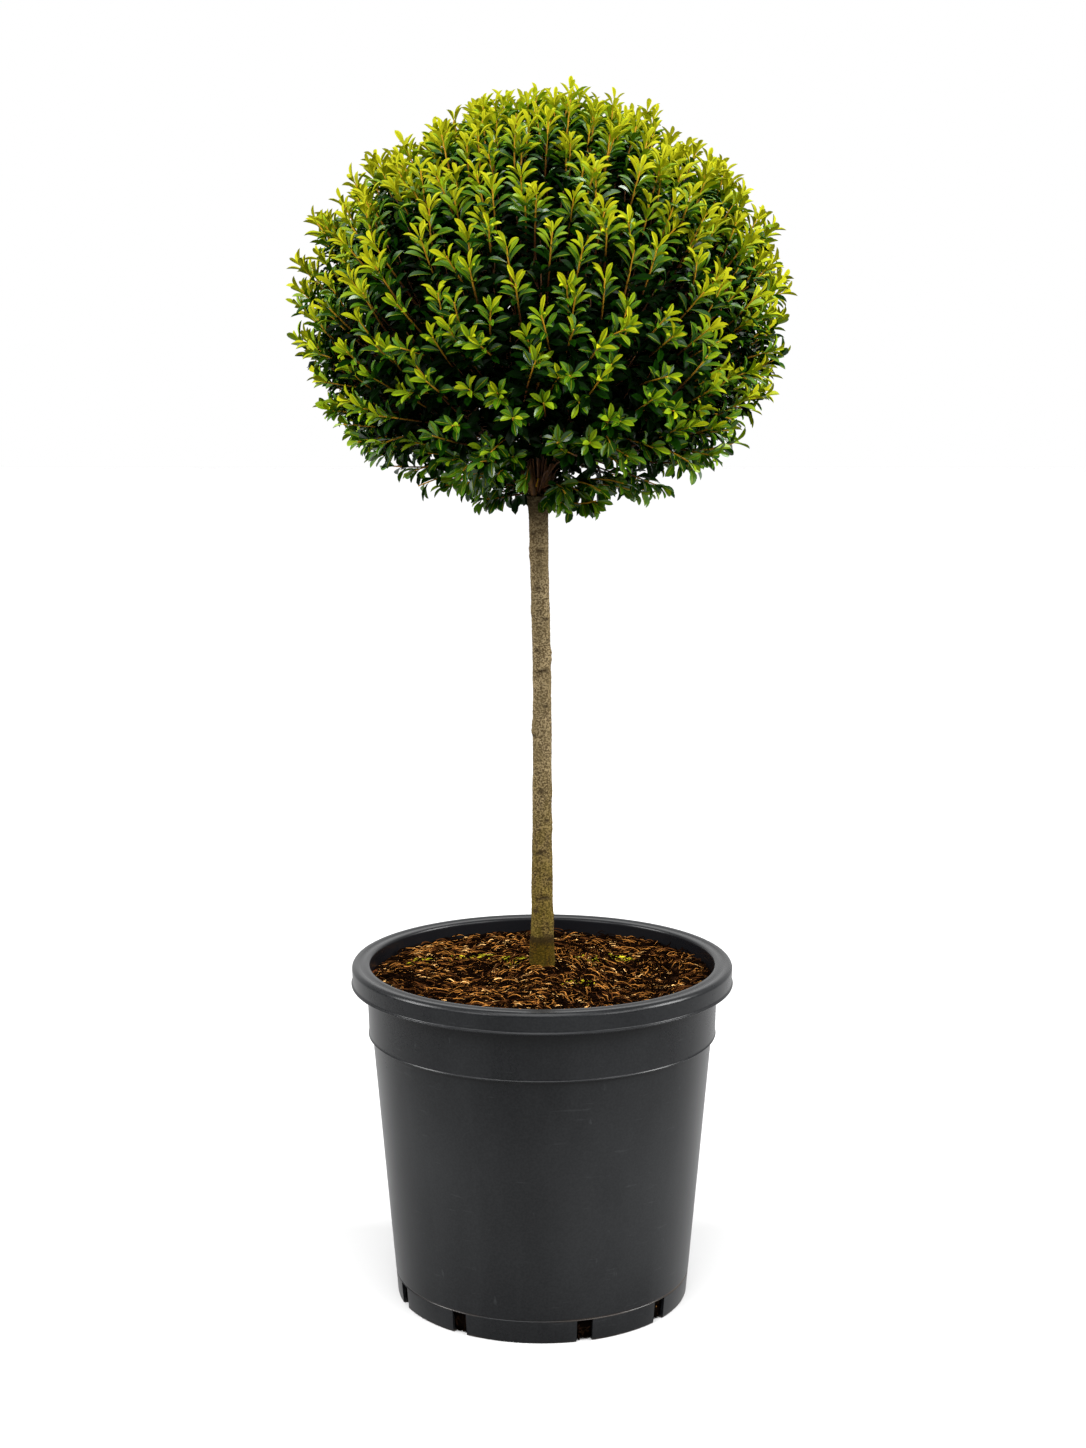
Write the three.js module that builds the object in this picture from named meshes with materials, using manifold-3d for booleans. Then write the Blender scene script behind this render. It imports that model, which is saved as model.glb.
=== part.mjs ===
// A clipped ball standard in a nursery pot: a clear trunk, a short fork of boughs and one clipped ball
// of small leaves. Millimetres, +Z up. The origin is the centre of the pot's flat underside.

import * as THREE from "three";
import Module from "manifold-3d";

const wasm = await Module();
wasm.setup();

// Air left between two pieces that touch on the real plant
const CLEARANCE = 0.35;

// The pot: one thin moulding with a tapered wall, a wider collar and a rolled rim with a hanging skirt
const POT = {
  height: 323,
  footRadius: 138.4,
  taper: 0.0853, // radius gained for each millimetre of height
  wall: 3,
  edgeRound: 2,
  footLine: 22, // height of the faint line above the drainage notches
  footInset: 0.8,
  shoulder: 246, // the wall steps out here, up to the collar
  collarStart: 253,
  collarStep: 4,
  collarRadius: 164.9,
  rimRadius: 180,
  rimDepth: 20,
  rimRoof: 3.5,
  skirt: 3,
  rimRound: 4,
  lipRound: 6,
  sides: 48,
};
const NOTCH = {
  width: 15,
  height: 21,
  innerRadius: 131,
  pairAzimuths: [-50.5, 33.7], // degrees round from the front, each repeated behind
  pairSpread: 35,
};

// The potting mix fills the pot and rises a little towards the trunk
const MIX = { edge: 309, crest: 315.5, crestRadius: 25, roundedBy: 11 };

// The trunk: a flared foot on the mix, a slight lean near the head, and a swelling where it forks
const TRUNK = {
  radius: 7.65,
  flare: 3.45,
  flareFade: 95,
  fork: 760,
  forkSwell: 2.2,
  forkFade: 14,
  lean: -3.3,
  leanFrom: 560,
  sway: 1.6,
  sides: 12,
  rings: 30,
};
// Pruning scars on the trunk: height, degrees round from the front, and how far each stands out
const KNOTS = [
  { z: 362, azimuth: 100, size: 0.9 },
  { z: 390, azimuth: -80, size: 0.8 },
  { z: 452, azimuth: 85, size: 1.0 },
  { z: 486, azimuth: 60, size: 0.8 },
  { z: 546, azimuth: -75, size: 1.3 },
  { z: 612, azimuth: 80, size: 1.4 },
  { z: 655, azimuth: -60, size: 0.9 },
  { z: 708, azimuth: -95, size: 1.2 },
];
const KNOT_HEIGHT = 6;

// The boughs: a leader and a ring round it that leave the fork upright and spread under the ball
const BOUGH = {
  count: 5,
  ring: 6.3,
  radius: 3.1,
  tipRadius: 2.1,
  upright: 55, // height over which a bough turns from upright to outward
  spread: 0.62, // where a bough ends, as a share of the dish's radius
  sides: 6,
  rings: 5,
};
const LEADER = { radius: 2.7, tipRadius: 2.1 };

// The clipped ball: its outline is an ellipsoid, a little fuller below
const BALL = {
  radius: 224,
  halfHeight: 191,
  centre: 936,
  upperPower: 2, // 2 is a plain ellipsoid, more is fuller
  lowerPower: 2.25,
};
// The dense core under the leaves, and the dish in its underside that the boughs rise into
const CORE = { depth: 40, around: 26, rows: 14, lumps: 18 };
const DISH = { radius: 62, halfHeight: 82, centre: 792, around: 14, rows: 8 };
const SOCKET_DEPTH = 9;

// Shoots stand out of the core, and each carries a few leaves
const SHOOT = {
  count: 88,
  sunk: 12,
  tipDepth: 20, // from the outline down to the tip of a shoot, where its last leaf starts
  radius: 2.6,
  tipRadius: 2,
  rings: 2,
  heart: 815, // height of the point that the shoots spread from
  upwardPull: 0.75,
  pullStart: 0.15, // share of the ball's height below which nothing pulls a shoot up
  pullSpan: 0.6,
  tipScatter: 9,
  clearOfTrunk: 17,
};
const LEAF = {
  perShoot: 4,
  length: 52,
  width: 28,
  thickness: 1.6,
  fold: 3,
  droop: 4,
  widestAt: 0.6,
  sunk: 0.5,
  lowest: 0.45, // place of the lowest leaf along its shoot
  highest: 0.97,
  lowestOpening: 70, // degrees between a leaf and its shoot
  highestOpening: 35,
  shrink: 0.3,
  turn: 137.5, // degrees round the shoot from one leaf to the next
  smallest: 0.5, // a leaf that would have to be smaller than this to fit is left out
};

const PLASTIC = new THREE.MeshStandardMaterial({ color: "#2b2d30", roughness: 0.55, metalness: 0 });
const COMPOST = new THREE.MeshStandardMaterial({ color: "#4a2a17", roughness: 0.95, metalness: 0 });
const BARK = new THREE.MeshStandardMaterial({ color: "#7a6b55", roughness: 0.9, metalness: 0 });
const YOUNG_BARK = new THREE.MeshStandardMaterial({ color: "#7d4e26", roughness: 0.8, metalness: 0 });
const GREEN = new THREE.MeshStandardMaterial({ color: "#5c8a1e", roughness: 0.5, metalness: 0 });

const UP = new THREE.Vector3(0, 0, 1);

const radians = THREE.MathUtils.degToRad;
const mix = THREE.MathUtils.lerp;
const smoothstep = THREE.MathUtils.smoothstep;

// A repeatable number from 0 to 1 for each pair of whole numbers
function chance(index, kind) {
  const s = Math.sin(index * 12.9898 + kind * 78.233) * 43758.5453;
  return s - Math.floor(s);
}

// Points on an arc of a profile, angles in degrees
function arc(centreR, centreZ, radius, from, to, steps) {
  return Array.from({ length: steps + 1 }, (_, i) => {
    const a = radians(mix(from, to, i / steps));
    return [centreR + radius * Math.cos(a), centreZ + radius * Math.sin(a)];
  });
}

// A closed profile of [radius, height] turned about the Z axis
function turned(profile, sides) {
  const points = profile.map(([r, z]) => new THREE.Vector2(r, z));
  return new THREE.LatheGeometry(points, sides).rotateX(Math.PI / 2);
}

// A closed geometry as a solid that can be cut and joined
function toSolid(geometry) {
  const numbers = new Map();
  const vertices = [];
  const position = geometry.getAttribute("position");
  const numberOf = Array.from({ length: position.count }, (_, i) => {
    const point = [position.getX(i), position.getY(i), position.getZ(i)];
    const key = point.map((v) => Math.round(v * 1000)).join();
    if (!numbers.has(key)) {
      numbers.set(key, numbers.size);
      vertices.push(...point);
    }
    return numbers.get(key);
  });
  const corners = geometry.index ? Array.from(geometry.index.array) : numberOf.map((_, i) => i);
  const triangles = [];
  for (let i = 0; i < corners.length; i += 3) {
    const [a, b, c] = corners.slice(i, i + 3).map((corner) => numberOf[corner]);
    if (a !== b && b !== c && c !== a) triangles.push(a, b, c);
  }
  return new wasm.Manifold(
    new wasm.Mesh({
      numProp: 3,
      vertProperties: new Float32Array(vertices),
      triVerts: new Uint32Array(triangles),
    }),
  );
}

function toGeometry(solid) {
  const mesh = solid.getMesh();
  const geometry = new THREE.BufferGeometry()
    .setAttribute("position", new THREE.BufferAttribute(mesh.vertProperties, 3))
    .setIndex(new THREE.BufferAttribute(mesh.triVerts, 1))
    .toNonIndexed();
  geometry.computeVertexNormals();
  return geometry;
}

function fromTriangles(vertices, triangles) {
  const numbers = vertices.flatMap((v) => v.toArray());
  return new THREE.BufferGeometry()
    .setAttribute("position", new THREE.Float32BufferAttribute(numbers, 3))
    .setIndex(triangles.flat());
}

// A closed skin over rings of points, with a point at each end
function capped(start, rings, end) {
  const sides = rings[0].length;
  const vertices = [start, ...rings.flat(), end];
  const at = (i, j) => 1 + i * sides + (j % sides);
  const last = vertices.length - 1;
  const triangles = [];
  for (let j = 0; j < sides; j++) {
    triangles.push([0, at(0, j + 1), at(0, j)], [last, at(rings.length - 1, j), at(rings.length - 1, j + 1)]);
    for (let i = 0; i < rings.length - 1; i++) {
      triangles.push([at(i, j), at(i, j + 1), at(i + 1, j + 1)], [at(i, j), at(i + 1, j + 1), at(i + 1, j)]);
    }
  }
  return fromTriangles(vertices, triangles);
}

// A limb: rings about a curve whose radius may change along it and round it
function limb(curve, radiusAt, rings, sides) {
  const frames = curve.computeFrenetFrames(rings, false);
  const skin = Array.from({ length: rings + 1 }, (_, i) => {
    const centre = curve.getPointAt(i / rings);
    return Array.from({ length: sides }, (_, j) => {
      const out = frames.normals[i].clone().applyAxisAngle(frames.tangents[i], (2 * Math.PI * j) / sides);
      return centre.clone().addScaledVector(out, radiusAt(i / rings, centre, out));
    });
  });
  return capped(curve.getPointAt(0), skin, curve.getPointAt(1));
}

const tapering = (from, to) => (t) => mix(from, to, t);

// A closed ball whose surface lies at pointAt(direction), its rows turned against each other
function ball(pointAt, around, rows) {
  const skin = Array.from({ length: rows - 1 }, (_, i) => {
    const up = -Math.cos((Math.PI * (i + 1)) / rows);
    const flat = Math.sqrt(1 - up * up);
    return Array.from({ length: around }, (_, j) => {
      const a = (2 * Math.PI * (j + 0.5 * i)) / around;
      return pointAt(new THREE.Vector3(flat * Math.cos(a), flat * Math.sin(a), up), i * around + j);
    });
  });
  return toSolid(capped(pointAt(UP.clone().negate(), 0), skin, pointAt(UP, 0)));
}

// The pot's wall radius outside, at a height below the shoulder
const wallRadius = (z) => POT.footRadius + POT.taper * z;

// The corners of the pot's inside, from the floor up to the lip's round
const INSIDE = [
  [wallRadius(POT.wall) - POT.wall, POT.wall],
  [wallRadius(POT.shoulder) - POT.wall, POT.shoulder + 1],
  [wallRadius(POT.shoulder) + POT.collarStep - POT.wall, POT.collarStart + 1.5],
  [POT.collarRadius - POT.wall, POT.height - POT.lipRound],
];

function potGeometry() {
  const skirtFoot = POT.height - POT.rimDepth;
  const [lipInner, lipFoot] = INSIDE.at(-1);
  const profile = [
    [0, 0],
    ...arc(POT.footRadius - POT.edgeRound, POT.edgeRound, POT.edgeRound, -90, 0, 2),
    [wallRadius(POT.footLine) - POT.footInset, POT.footLine],
    [wallRadius(POT.footLine), POT.footLine + 1],
    [wallRadius(POT.shoulder), POT.shoulder],
    [wallRadius(POT.shoulder) + POT.collarStep, POT.collarStart],
    [POT.collarRadius, skirtFoot],
    [POT.collarRadius, POT.height - POT.rimRoof],
    [POT.rimRadius - POT.skirt, POT.height - POT.rimRoof],
    [POT.rimRadius - POT.skirt, skirtFoot],
    [POT.rimRadius, skirtFoot],
    ...arc(POT.rimRadius - POT.rimRound - 0.5, POT.height - POT.rimRound, POT.rimRound, 0, 90, 3),
    ...arc(lipInner + POT.lipRound, lipFoot, POT.lipRound, 90, 180, 3),
    ...INSIDE.slice(0, -1).reverse(),
    [0, POT.wall],
  ];
  const notchDepth = POT.rimRadius - NOTCH.innerRadius;
  const notches = NOTCH.pairAzimuths.flatMap((pair) =>
    [0, 180].flatMap((half) =>
      [-0.5, 0.5].map((side) => {
        const box = new THREE.BoxGeometry(NOTCH.width, notchDepth, 2 * NOTCH.height);
        box.translate(0, -(NOTCH.innerRadius + notchDepth / 2), 0);
        return toSolid(box.rotateZ(radians(pair + half + side * NOTCH.pairSpread)));
      }),
    ),
  );
  const moulding = toSolid(turned(profile, POT.sides));
  return toGeometry(moulding.subtract(wasm.Manifold.union(notches)));
}

function mixGeometry() {
  const [foot, shoulder, collar, lip] = INSIDE.map(([r, z]) => [r - CLEARANCE, z]);
  const rim = mix(collar[0], lip[0], (MIX.edge - collar[1]) / (lip[1] - collar[1]));
  const rise = MIX.crest - MIX.edge;
  return turned(
    [
      [0, POT.wall + CLEARANCE],
      [foot[0], POT.wall + CLEARANCE],
      shoulder,
      collar,
      [rim, MIX.edge],
      [rim - MIX.roundedBy, MIX.edge + 0.3 * rise],
      [0.5 * rim, MIX.edge + 0.8 * rise],
      [MIX.crestRadius, MIX.crest],
      [0, MIX.crest],
    ],
    POT.sides,
  );
}

// Where the trunk's centre runs at a height
function trunkCentre(z) {
  const share = (z - MIX.crest) / (TRUNK.fork - MIX.crest);
  const x = TRUNK.lean * smoothstep(z, TRUNK.leanFrom, TRUNK.fork);
  return new THREE.Vector3(x, TRUNK.sway * Math.sin(Math.PI * share), z);
}

function trunkRadius(z) {
  const flare = TRUNK.flare * Math.exp(-(z - MIX.crest) / TRUNK.flareFade);
  const swell = TRUNK.forkSwell * Math.exp(-(TRUNK.fork - z) / TRUNK.forkFade);
  return TRUNK.radius + flare + swell;
}

// How far the pruning scars stand out of the trunk at a height, in a direction
function knotBulge(z, out) {
  return KNOTS.reduce((sum, knot) => {
    const a = radians(knot.azimuth);
    const facing = Math.max(0, out.x * Math.sin(a) - out.y * Math.cos(a));
    return sum + knot.size * facing ** 4 * Math.exp(-(((z - knot.z) / KNOT_HEIGHT) ** 2));
  }, 0);
}

function trunkGeometry() {
  const foot = MIX.crest + CLEARANCE;
  const steps = 12;
  const heights = Array.from({ length: steps + 1 }, (_, i) => mix(foot, TRUNK.fork, i / steps));
  const path = new THREE.CatmullRomCurve3(heights.map(trunkCentre));
  const radiusAt = (t, centre, out) => trunkRadius(centre.z) + knotBulge(centre.z, out);
  return limb(path, radiusAt, TRUNK.rings, TRUNK.sides);
}

const dishPoint = (direction) =>
  new THREE.Vector3(
    DISH.radius * direction.x,
    DISH.radius * direction.y,
    DISH.centre + DISH.halfHeight * direction.z,
  );

// A bough's curve: upright out of the fork, then outward into its socket in the dish
function boughCurve(index) {
  const azimuth = (2 * Math.PI * (index + 0.3)) / BOUGH.count;
  const out = new THREE.Vector3(Math.cos(azimuth), Math.sin(azimuth), 0);
  const foot = trunkCentre(TRUNK.fork).addScaledVector(UP, CLEARANCE).addScaledVector(out, BOUGH.ring);
  const share = BOUGH.spread * mix(0.8, 1.2, chance(index, 1));
  const mouth = dishPoint(out.clone().multiplyScalar(share).addScaledVector(UP, Math.sqrt(1 - share * share)));
  const bend = foot.clone().addScaledVector(UP, BOUGH.upright);
  const tip = mouth.clone().addScaledVector(mouth.clone().sub(bend).normalize(), SOCKET_DEPTH);
  return new THREE.QuadraticBezierCurve3(foot, bend, tip);
}

function leaderCurve() {
  const foot = trunkCentre(TRUNK.fork).addScaledVector(UP, CLEARANCE);
  return new THREE.LineCurve3(foot, dishPoint(UP).addScaledVector(UP, SOCKET_DEPTH));
}

// Every bough, the leader first, each thicker than life by extra
function boughGeometries(extra = 0) {
  const leader = tapering(LEADER.radius + extra, LEADER.tipRadius + extra);
  const radii = tapering(BOUGH.radius + extra, BOUGH.tipRadius + extra);
  const ring = Array.from({ length: BOUGH.count }, (_, i) => boughCurve(i));
  return [
    limb(leaderCurve(), leader, BOUGH.rings, BOUGH.sides),
    ...ring.map((curve) => limb(curve, radii, BOUGH.rings, BOUGH.sides)),
  ];
}

const fullness = (up) => (up > 0 ? BALL.upperPower : BALL.lowerPower);

// The point of the ball's outline in a direction from its centre, or that far inside the outline
function onBall(direction, inset = 0) {
  const power = fullness(direction.z);
  const flat = Math.hypot(direction.x, direction.y) / (BALL.radius - inset);
  const up = Math.abs(direction.z) / (BALL.halfHeight - inset);
  const reach = (flat ** power + up ** power) ** (-1 / power);
  return direction.clone().multiplyScalar(reach).addScaledVector(UP, BALL.centre);
}

// How far out a point lies: 1 is on the ball's outline
function shareOfBall(point) {
  const up = point.z - BALL.centre;
  const power = fullness(up);
  const flat = Math.hypot(point.x, point.y) / BALL.radius;
  return (flat ** power + (Math.abs(up) / BALL.halfHeight) ** power) ** (1 / power);
}

// The core, with the dish cut in its underside and a socket for the end of each bough
function coreSolid() {
  const lumpy = (direction, i) => onBall(direction, CORE.depth + CORE.lumps * (chance(i, 2) - 0.5));
  const dish = ball(dishPoint, DISH.around, DISH.rows);
  const sockets = boughGeometries(CLEARANCE).map(toSolid);
  return ball(lumpy, CORE.around, CORE.rows).subtract(wasm.Manifold.union([dish, ...sockets]));
}

// Directions spread evenly over a sphere, from the top down
function spreadOut(index, count) {
  const up = 1 - (2 * index + 1) / count;
  const flat = Math.sqrt(1 - up * up);
  const a = index * Math.PI * (3 - Math.sqrt(5));
  return new THREE.Vector3(flat * Math.cos(a), flat * Math.sin(a), up);
}

// A shoot's curve: out of the core, and bent up towards the light, more so near the top
function shootCurve(index) {
  const direction = spreadOut(index, SHOOT.count);
  const tip = onBall(direction, SHOOT.tipDepth + SHOOT.tipScatter * chance(index, 3));
  const height = (tip.z - BALL.centre + BALL.halfHeight) / (2 * BALL.halfHeight);
  const pull = SHOOT.upwardPull * smoothstep(height, SHOOT.pullStart, SHOOT.pullStart + SHOOT.pullSpan);
  const outward = tip.clone().addScaledVector(UP, -SHOOT.heart).normalize();
  const aim = outward.addScaledVector(UP, pull).normalize();
  const root = onBall(direction, CORE.depth + SHOOT.sunk);
  root.z -= 0.3 * pull * CORE.depth * (1 - Math.abs(direction.z));
  const radius = Math.hypot(root.x, root.y);
  const rim = DISH.radius + SHOOT.sunk;
  if (direction.z < 0 && radius < rim) {
    root.x *= rim / radius;
    root.y *= rim / radius;
  }
  const bend = tip.clone().addScaledVector(aim, -0.5 * tip.distanceTo(root));
  return new THREE.QuadraticBezierCurve3(root, bend, tip);
}

// A leaf of eight faces: narrow at the foot, widest past the middle, folded along its rib
function leafSolid({ foot, along, face, scale }) {
  const across = new THREE.Vector3().crossVectors(face, along).normalize();
  const up = new THREE.Vector3().crossVectors(along, across).normalize();
  const at = (x, y, z) =>
    foot
      .clone()
      .addScaledVector(along, x * scale)
      .addScaledVector(across, y * scale)
      .addScaledVector(up, z * scale);
  const middle = LEAF.widestAt * LEAF.length;
  const outline = [
    at(0, 0, 0),
    at(middle, -0.5 * LEAF.width, LEAF.fold),
    at(LEAF.length, 0, -LEAF.droop),
    at(middle, 0.5 * LEAF.width, LEAF.fold),
  ];
  const under = at(middle, 0, -0.5 * LEAF.thickness);
  const over = at(middle, 0, 0.5 * LEAF.thickness);
  return toSolid(capped(under, [outline], over));
}

// The leaves of a shoot, each a fixed turn on from the last, smaller and more upright to the tip
function leavesOf(curve, index) {
  return Array.from({ length: LEAF.perShoot }, (_, k) => {
    const share = k / (LEAF.perShoot - 1);
    const place = mix(LEAF.lowest, LEAF.highest, share);
    const face = curve.getTangentAt(place);
    const turn = radians(LEAF.turn * k + 360 * chance(index, 4));
    const side = new THREE.Vector3(1, 0, 0).cross(face).normalize().applyAxisAngle(face, turn);
    const opening = radians(mix(LEAF.lowestOpening, LEAF.highestOpening, share));
    const along = side.multiplyScalar(Math.sin(opening)).addScaledVector(face, Math.cos(opening));
    const foot = curve.getPointAt(place).addScaledVector(along, -LEAF.sunk);
    return { foot, along, face, scale: 1 - LEAF.shrink * share };
  });
}

const endOf = ({ foot, along, scale }) => foot.clone().addScaledVector(along, LEAF.length * scale);

// The same leaf, smaller until it ends inside the ball
function clipped(leaf) {
  let scale = leaf.scale;
  while (shareOfBall(endOf({ ...leaf, scale })) > 1) scale *= 0.98;
  return { ...leaf, scale };
}

function clearOfLimbs(point) {
  const fromTrunk = Math.hypot(point.x - TRUNK.lean, point.y);
  return point.z > BALL.centre || fromTrunk > SHOOT.clearOfTrunk;
}

const leafFits = (leaf) => leaf.scale > LEAF.smallest && clearOfLimbs(endOf(leaf));

// The clipped ball: the core and every shoot and leaf that keeps its distance
function foliageGeometry() {
  const pieces = [coreSolid()];
  for (let i = 0; i < SHOOT.count; i++) {
    const curve = shootCurve(i);
    if (!clearOfLimbs(curve.getPointAt(1))) continue;
    pieces.push(toSolid(limb(curve, tapering(SHOOT.radius, SHOOT.tipRadius), SHOOT.rings, 3)));
    pieces.push(...leavesOf(curve, i).map(clipped).filter(leafFits).map(leafSolid));
  }
  const grown = wasm.Manifold.union(pieces).simplify(0.03);
  const largest = grown.decompose().sort((a, b) => b.volume() - a.volume())[0];
  return toGeometry(largest);
}

const plant = new THREE.Group();
function add(name, geometry, material) {
  const mesh = new THREE.Mesh(geometry, material);
  mesh.name = name;
  plant.add(mesh);
}

add("pot", potGeometry(), PLASTIC);
add("potting_mix", mixGeometry(), COMPOST);
add("trunk", trunkGeometry(), BARK);
boughGeometries().forEach((geometry, i) => add(i ? `bough_${i}` : "leader", geometry, YOUNG_BARK));
add("foliage_ball", foliageGeometry(), GREEN);

export default plant;
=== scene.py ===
"""A clipped ball standard in a nursery pot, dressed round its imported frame. Metres, +Z up.

It is laid out as an add-on and run as a script: each operator makes one piece, or one group of like
pieces, and main() calls them in order.
"""

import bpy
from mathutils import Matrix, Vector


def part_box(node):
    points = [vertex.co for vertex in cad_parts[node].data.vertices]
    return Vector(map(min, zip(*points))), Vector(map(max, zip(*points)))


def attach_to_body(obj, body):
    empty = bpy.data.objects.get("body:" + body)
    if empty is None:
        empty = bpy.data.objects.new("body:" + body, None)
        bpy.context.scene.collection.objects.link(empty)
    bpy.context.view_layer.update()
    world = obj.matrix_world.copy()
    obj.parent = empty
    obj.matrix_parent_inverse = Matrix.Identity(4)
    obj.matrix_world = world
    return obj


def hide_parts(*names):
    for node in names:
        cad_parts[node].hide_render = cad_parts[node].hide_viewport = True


bl_info = {
    "name": "Clipped ball standard",
    "version": (1, 0, 0),
    "blender": (4, 5, 0),
    "location": "3D View > Sidebar > Topiary",
    "description": "Builds a potted ball standard with its pot, mix, trunk, twigs and leaves",
    "category": "Add Mesh",
}

import functools
import math

import bpy
import numpy as np
from bpy.props import FloatProperty, FloatVectorProperty, IntProperty, PointerProperty
from mathutils import Vector, noise

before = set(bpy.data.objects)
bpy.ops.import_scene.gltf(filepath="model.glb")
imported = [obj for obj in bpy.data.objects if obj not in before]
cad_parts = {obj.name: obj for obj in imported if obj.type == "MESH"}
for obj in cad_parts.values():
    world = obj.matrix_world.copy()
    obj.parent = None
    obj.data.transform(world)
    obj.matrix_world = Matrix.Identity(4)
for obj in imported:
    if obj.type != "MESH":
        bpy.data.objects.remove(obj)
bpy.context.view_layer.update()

BODY = "root"

# Where the main pieces stand, from the frame
RIM_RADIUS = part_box("pot")[1].x
POT_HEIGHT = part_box("pot")[1].z
MIX_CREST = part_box("potting_mix")[1].z
TRUNK_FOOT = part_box("trunk")[0].z
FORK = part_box("trunk")[1].z

UP = np.array((0.0, 0.0, 1.0))
GOLDEN_ANGLE = math.pi * (3 - math.sqrt(5))

# The pot: its tapered wall, the collar that steps out of it, the skirted rim and the notches
FOOT_RADIUS = 0.1384
TAPER = 0.0853
WALL = 0.003
FOOT_LINE = 0.022
GROOVE = 0.0008
SHOULDER = 0.246
COLLAR_STEP = 0.004
COLLAR_RADIUS = 0.1649
BEAD = 0.0007
RIM_DEPTH = 0.020
RIM_ROOF = 0.0035
SKIRT = 0.003
LIP_ROUND = 0.006
CORNER_ROUND = 0.0016
NOTCH_WIDTH = 0.015
NOTCH_HEIGHT = 0.021
NOTCH_INNER = 0.131
# Where each pair of notches stands, with another opposite it, and how far its two are apart
NOTCH_PAIRS = (-50.5, 33.7)
NOTCH_SPREAD = 35
# Where the scene's collar starts: its edge is sharper than the solid's
COLLAR_FOOT = 0.2545
POT_SIDES = 256

# The potting mix: its levels and its lumps, and how far out its chips and fibres may lie
MIX_EDGE = 0.309
CREST_RADIUS = 0.025
MIX_GAP = 0.0004
MIX_LUMPS = 0.0015
MIX_SWELLS = 0.0018
MIX_SUNK = 0.0020
TRUNK_MOUND = 0.0030
WALL_DENTS = 0.0016
MIX_RADIUS = 0.161
FIBRE_EDGE = 0.157
FIBRE_RING = (0.012, 0.156)
# Where green tufts lie on it
MOSS_TUFTS = (
    (-0.118, 0.040), (-0.078, 0.044), (-0.062, 0.046), (-0.036, 0.030), (-0.030, 0.018),
    (0.042, 0.040), (0.048, 0.028), (0.072, 0.044), (0.082, 0.036), (0.034, -0.050),
)
# The crumbs in the notches: how far out from the axis, and how high
CRUMB_RADIUS = (0.1315, 0.1345)
CRUMB_HEIGHT = (0.0015, 0.0190)
CRUMB_LOWEST = 0.0012

# The trunk's taper, flare, sway and lean, as in the solid
TRUNK_RADIUS = 0.00765
FLARE = 0.00345
FLARE_FADE = 0.095
FORK_SWELL = 0.0022
FORK_FADE = 0.014
LEAN = -0.0033
LEAN_FROM = 0.560
SWAY = 0.0016
# Pruning scars: height, degrees round from the front, and how far each stands out
KNOTS = (
    (0.362, 100, 0.0010), (0.390, -80, 0.0008), (0.452, 85, 0.0012), (0.486, 60, 0.0008),
    (0.546, -75, 0.0016), (0.612, 80, 0.0017), (0.655, -60, 0.0009), (0.708, -95, 0.0014),
)
KNOT_HEIGHT = 0.006
# Creases across the bark, left by old shoots: height, degrees round from the front, half width
CREASES = (
    (0.385, 12, 0.0075), (0.372, -35, 0.0040), (0.402, 50, 0.0035), (0.427, -20, 0.0045),
    (0.458, 30, 0.0030), (0.486, -8, 0.0035), (0.538, -62, 0.0040), (0.566, 25, 0.0028),
    (0.599, 8, 0.0080), (0.618, -30, 0.0030), (0.647, 35, 0.0040), (0.676, -15, 0.0035),
    (0.710, 5, 0.0050), (0.726, -40, 0.0035), (0.520, 150, 0.0050), (0.640, 200, 0.0050),
    (0.430, 215, 0.0045),
)
CREASE_HEIGHT = 0.0018
CREASE_REACH = 0.010
CREASE_BEND = 60
CREASE_DEPTH = 0.0005
CREASE_LIP = 0.0010
# How far the scene's bark stands out from the solid, and how much more at its foot in the mix
BARK = 0.0007
FOOT_SLEEVE = 0.0006
SLEEVE_FADE = (0.349, 0.343)

# The boughs' feet, as in the solid, and their tips at the shell: how far out, and how high
BOUGH_RING = 0.0063
BOUGH_RADIUS = 0.0031
LEADER_RADIUS = 0.0027
BOUGH_UPRIGHT = 0.055
BOUGH_TIPS = ((0.118, 0.955), (0.105, 0.985), (0.122, 0.930), (0.112, 0.965), (0.108, 0.945))
LEADER_TIP = (0.006, -0.004, 1.035)
BOUGHS = len(BOUGH_TIPS)
BOUGH_WANDER = 0.0035
# The branches: how many, how deep they end with its scatter, and the longest twig that joins a shoot
BRANCHES = 110
BRANCH_DEPTH = 0.078
BRANCH_SCATTER = 0.02
LONGEST_LINK = 0.11

# The ball's plain outline, close to the solid's
BALL_RADIUS = 0.224
BALL_HALF_HEIGHT = 0.191
BALL_CENTRE = 0.936
UPPER_POWER = 2.0
LOWER_POWER = 2.20
# Where the clipped outline swells or dips: a direction, and by what share of its reach
SWELLS = (
    ((-0.60, -0.1, 0.78), -0.078), ((0.85, -0.1, 0.50), -0.010), ((-1.00, -0.1, -0.05), 0.012),
    ((-0.93, -0.1, -0.36), 0.026), ((0.92, -0.1, -0.36), 0.030), ((0.60, -0.2, -0.75), 0.015),
    ((-0.75, -0.2, -0.65), 0.020), ((0.10, 0.90, 0.20), 0.030), ((-0.50, 0.70, -0.40), -0.025),
)
SWELL_WIDTH = 0.30

# Outer, inner and deep shoots: depth of the tips, its scatter, length, scatter of the directions,
# and the share that grows at the ball's foot
SHOOTS = (
    (0.006, 0.020, 0.060, 0.36, 0.5),
    (0.034, 0.026, 0.045, 0.45, 0.3),
    (0.068, 0.032, 0.045, 0.5, 0.05),
)
# The same three thinned out: the share kept at the foot, up to which height, and from where all are
THINNING = ((0.80, 0.02, 0.24), (0.50, 0.06, 0.26), (0.12, 0.10, 0.38))
# Where the shoots grow away from, and how hard the light pulls them up, from which height
HEART = 0.815
UPWARD_PULL = 0.68
PULL_START = 0.15
PULL_SPAN = 0.6
# How far from the axis a shoot of the underside still starts at the fork
FORK_REACH = 0.095

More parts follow.
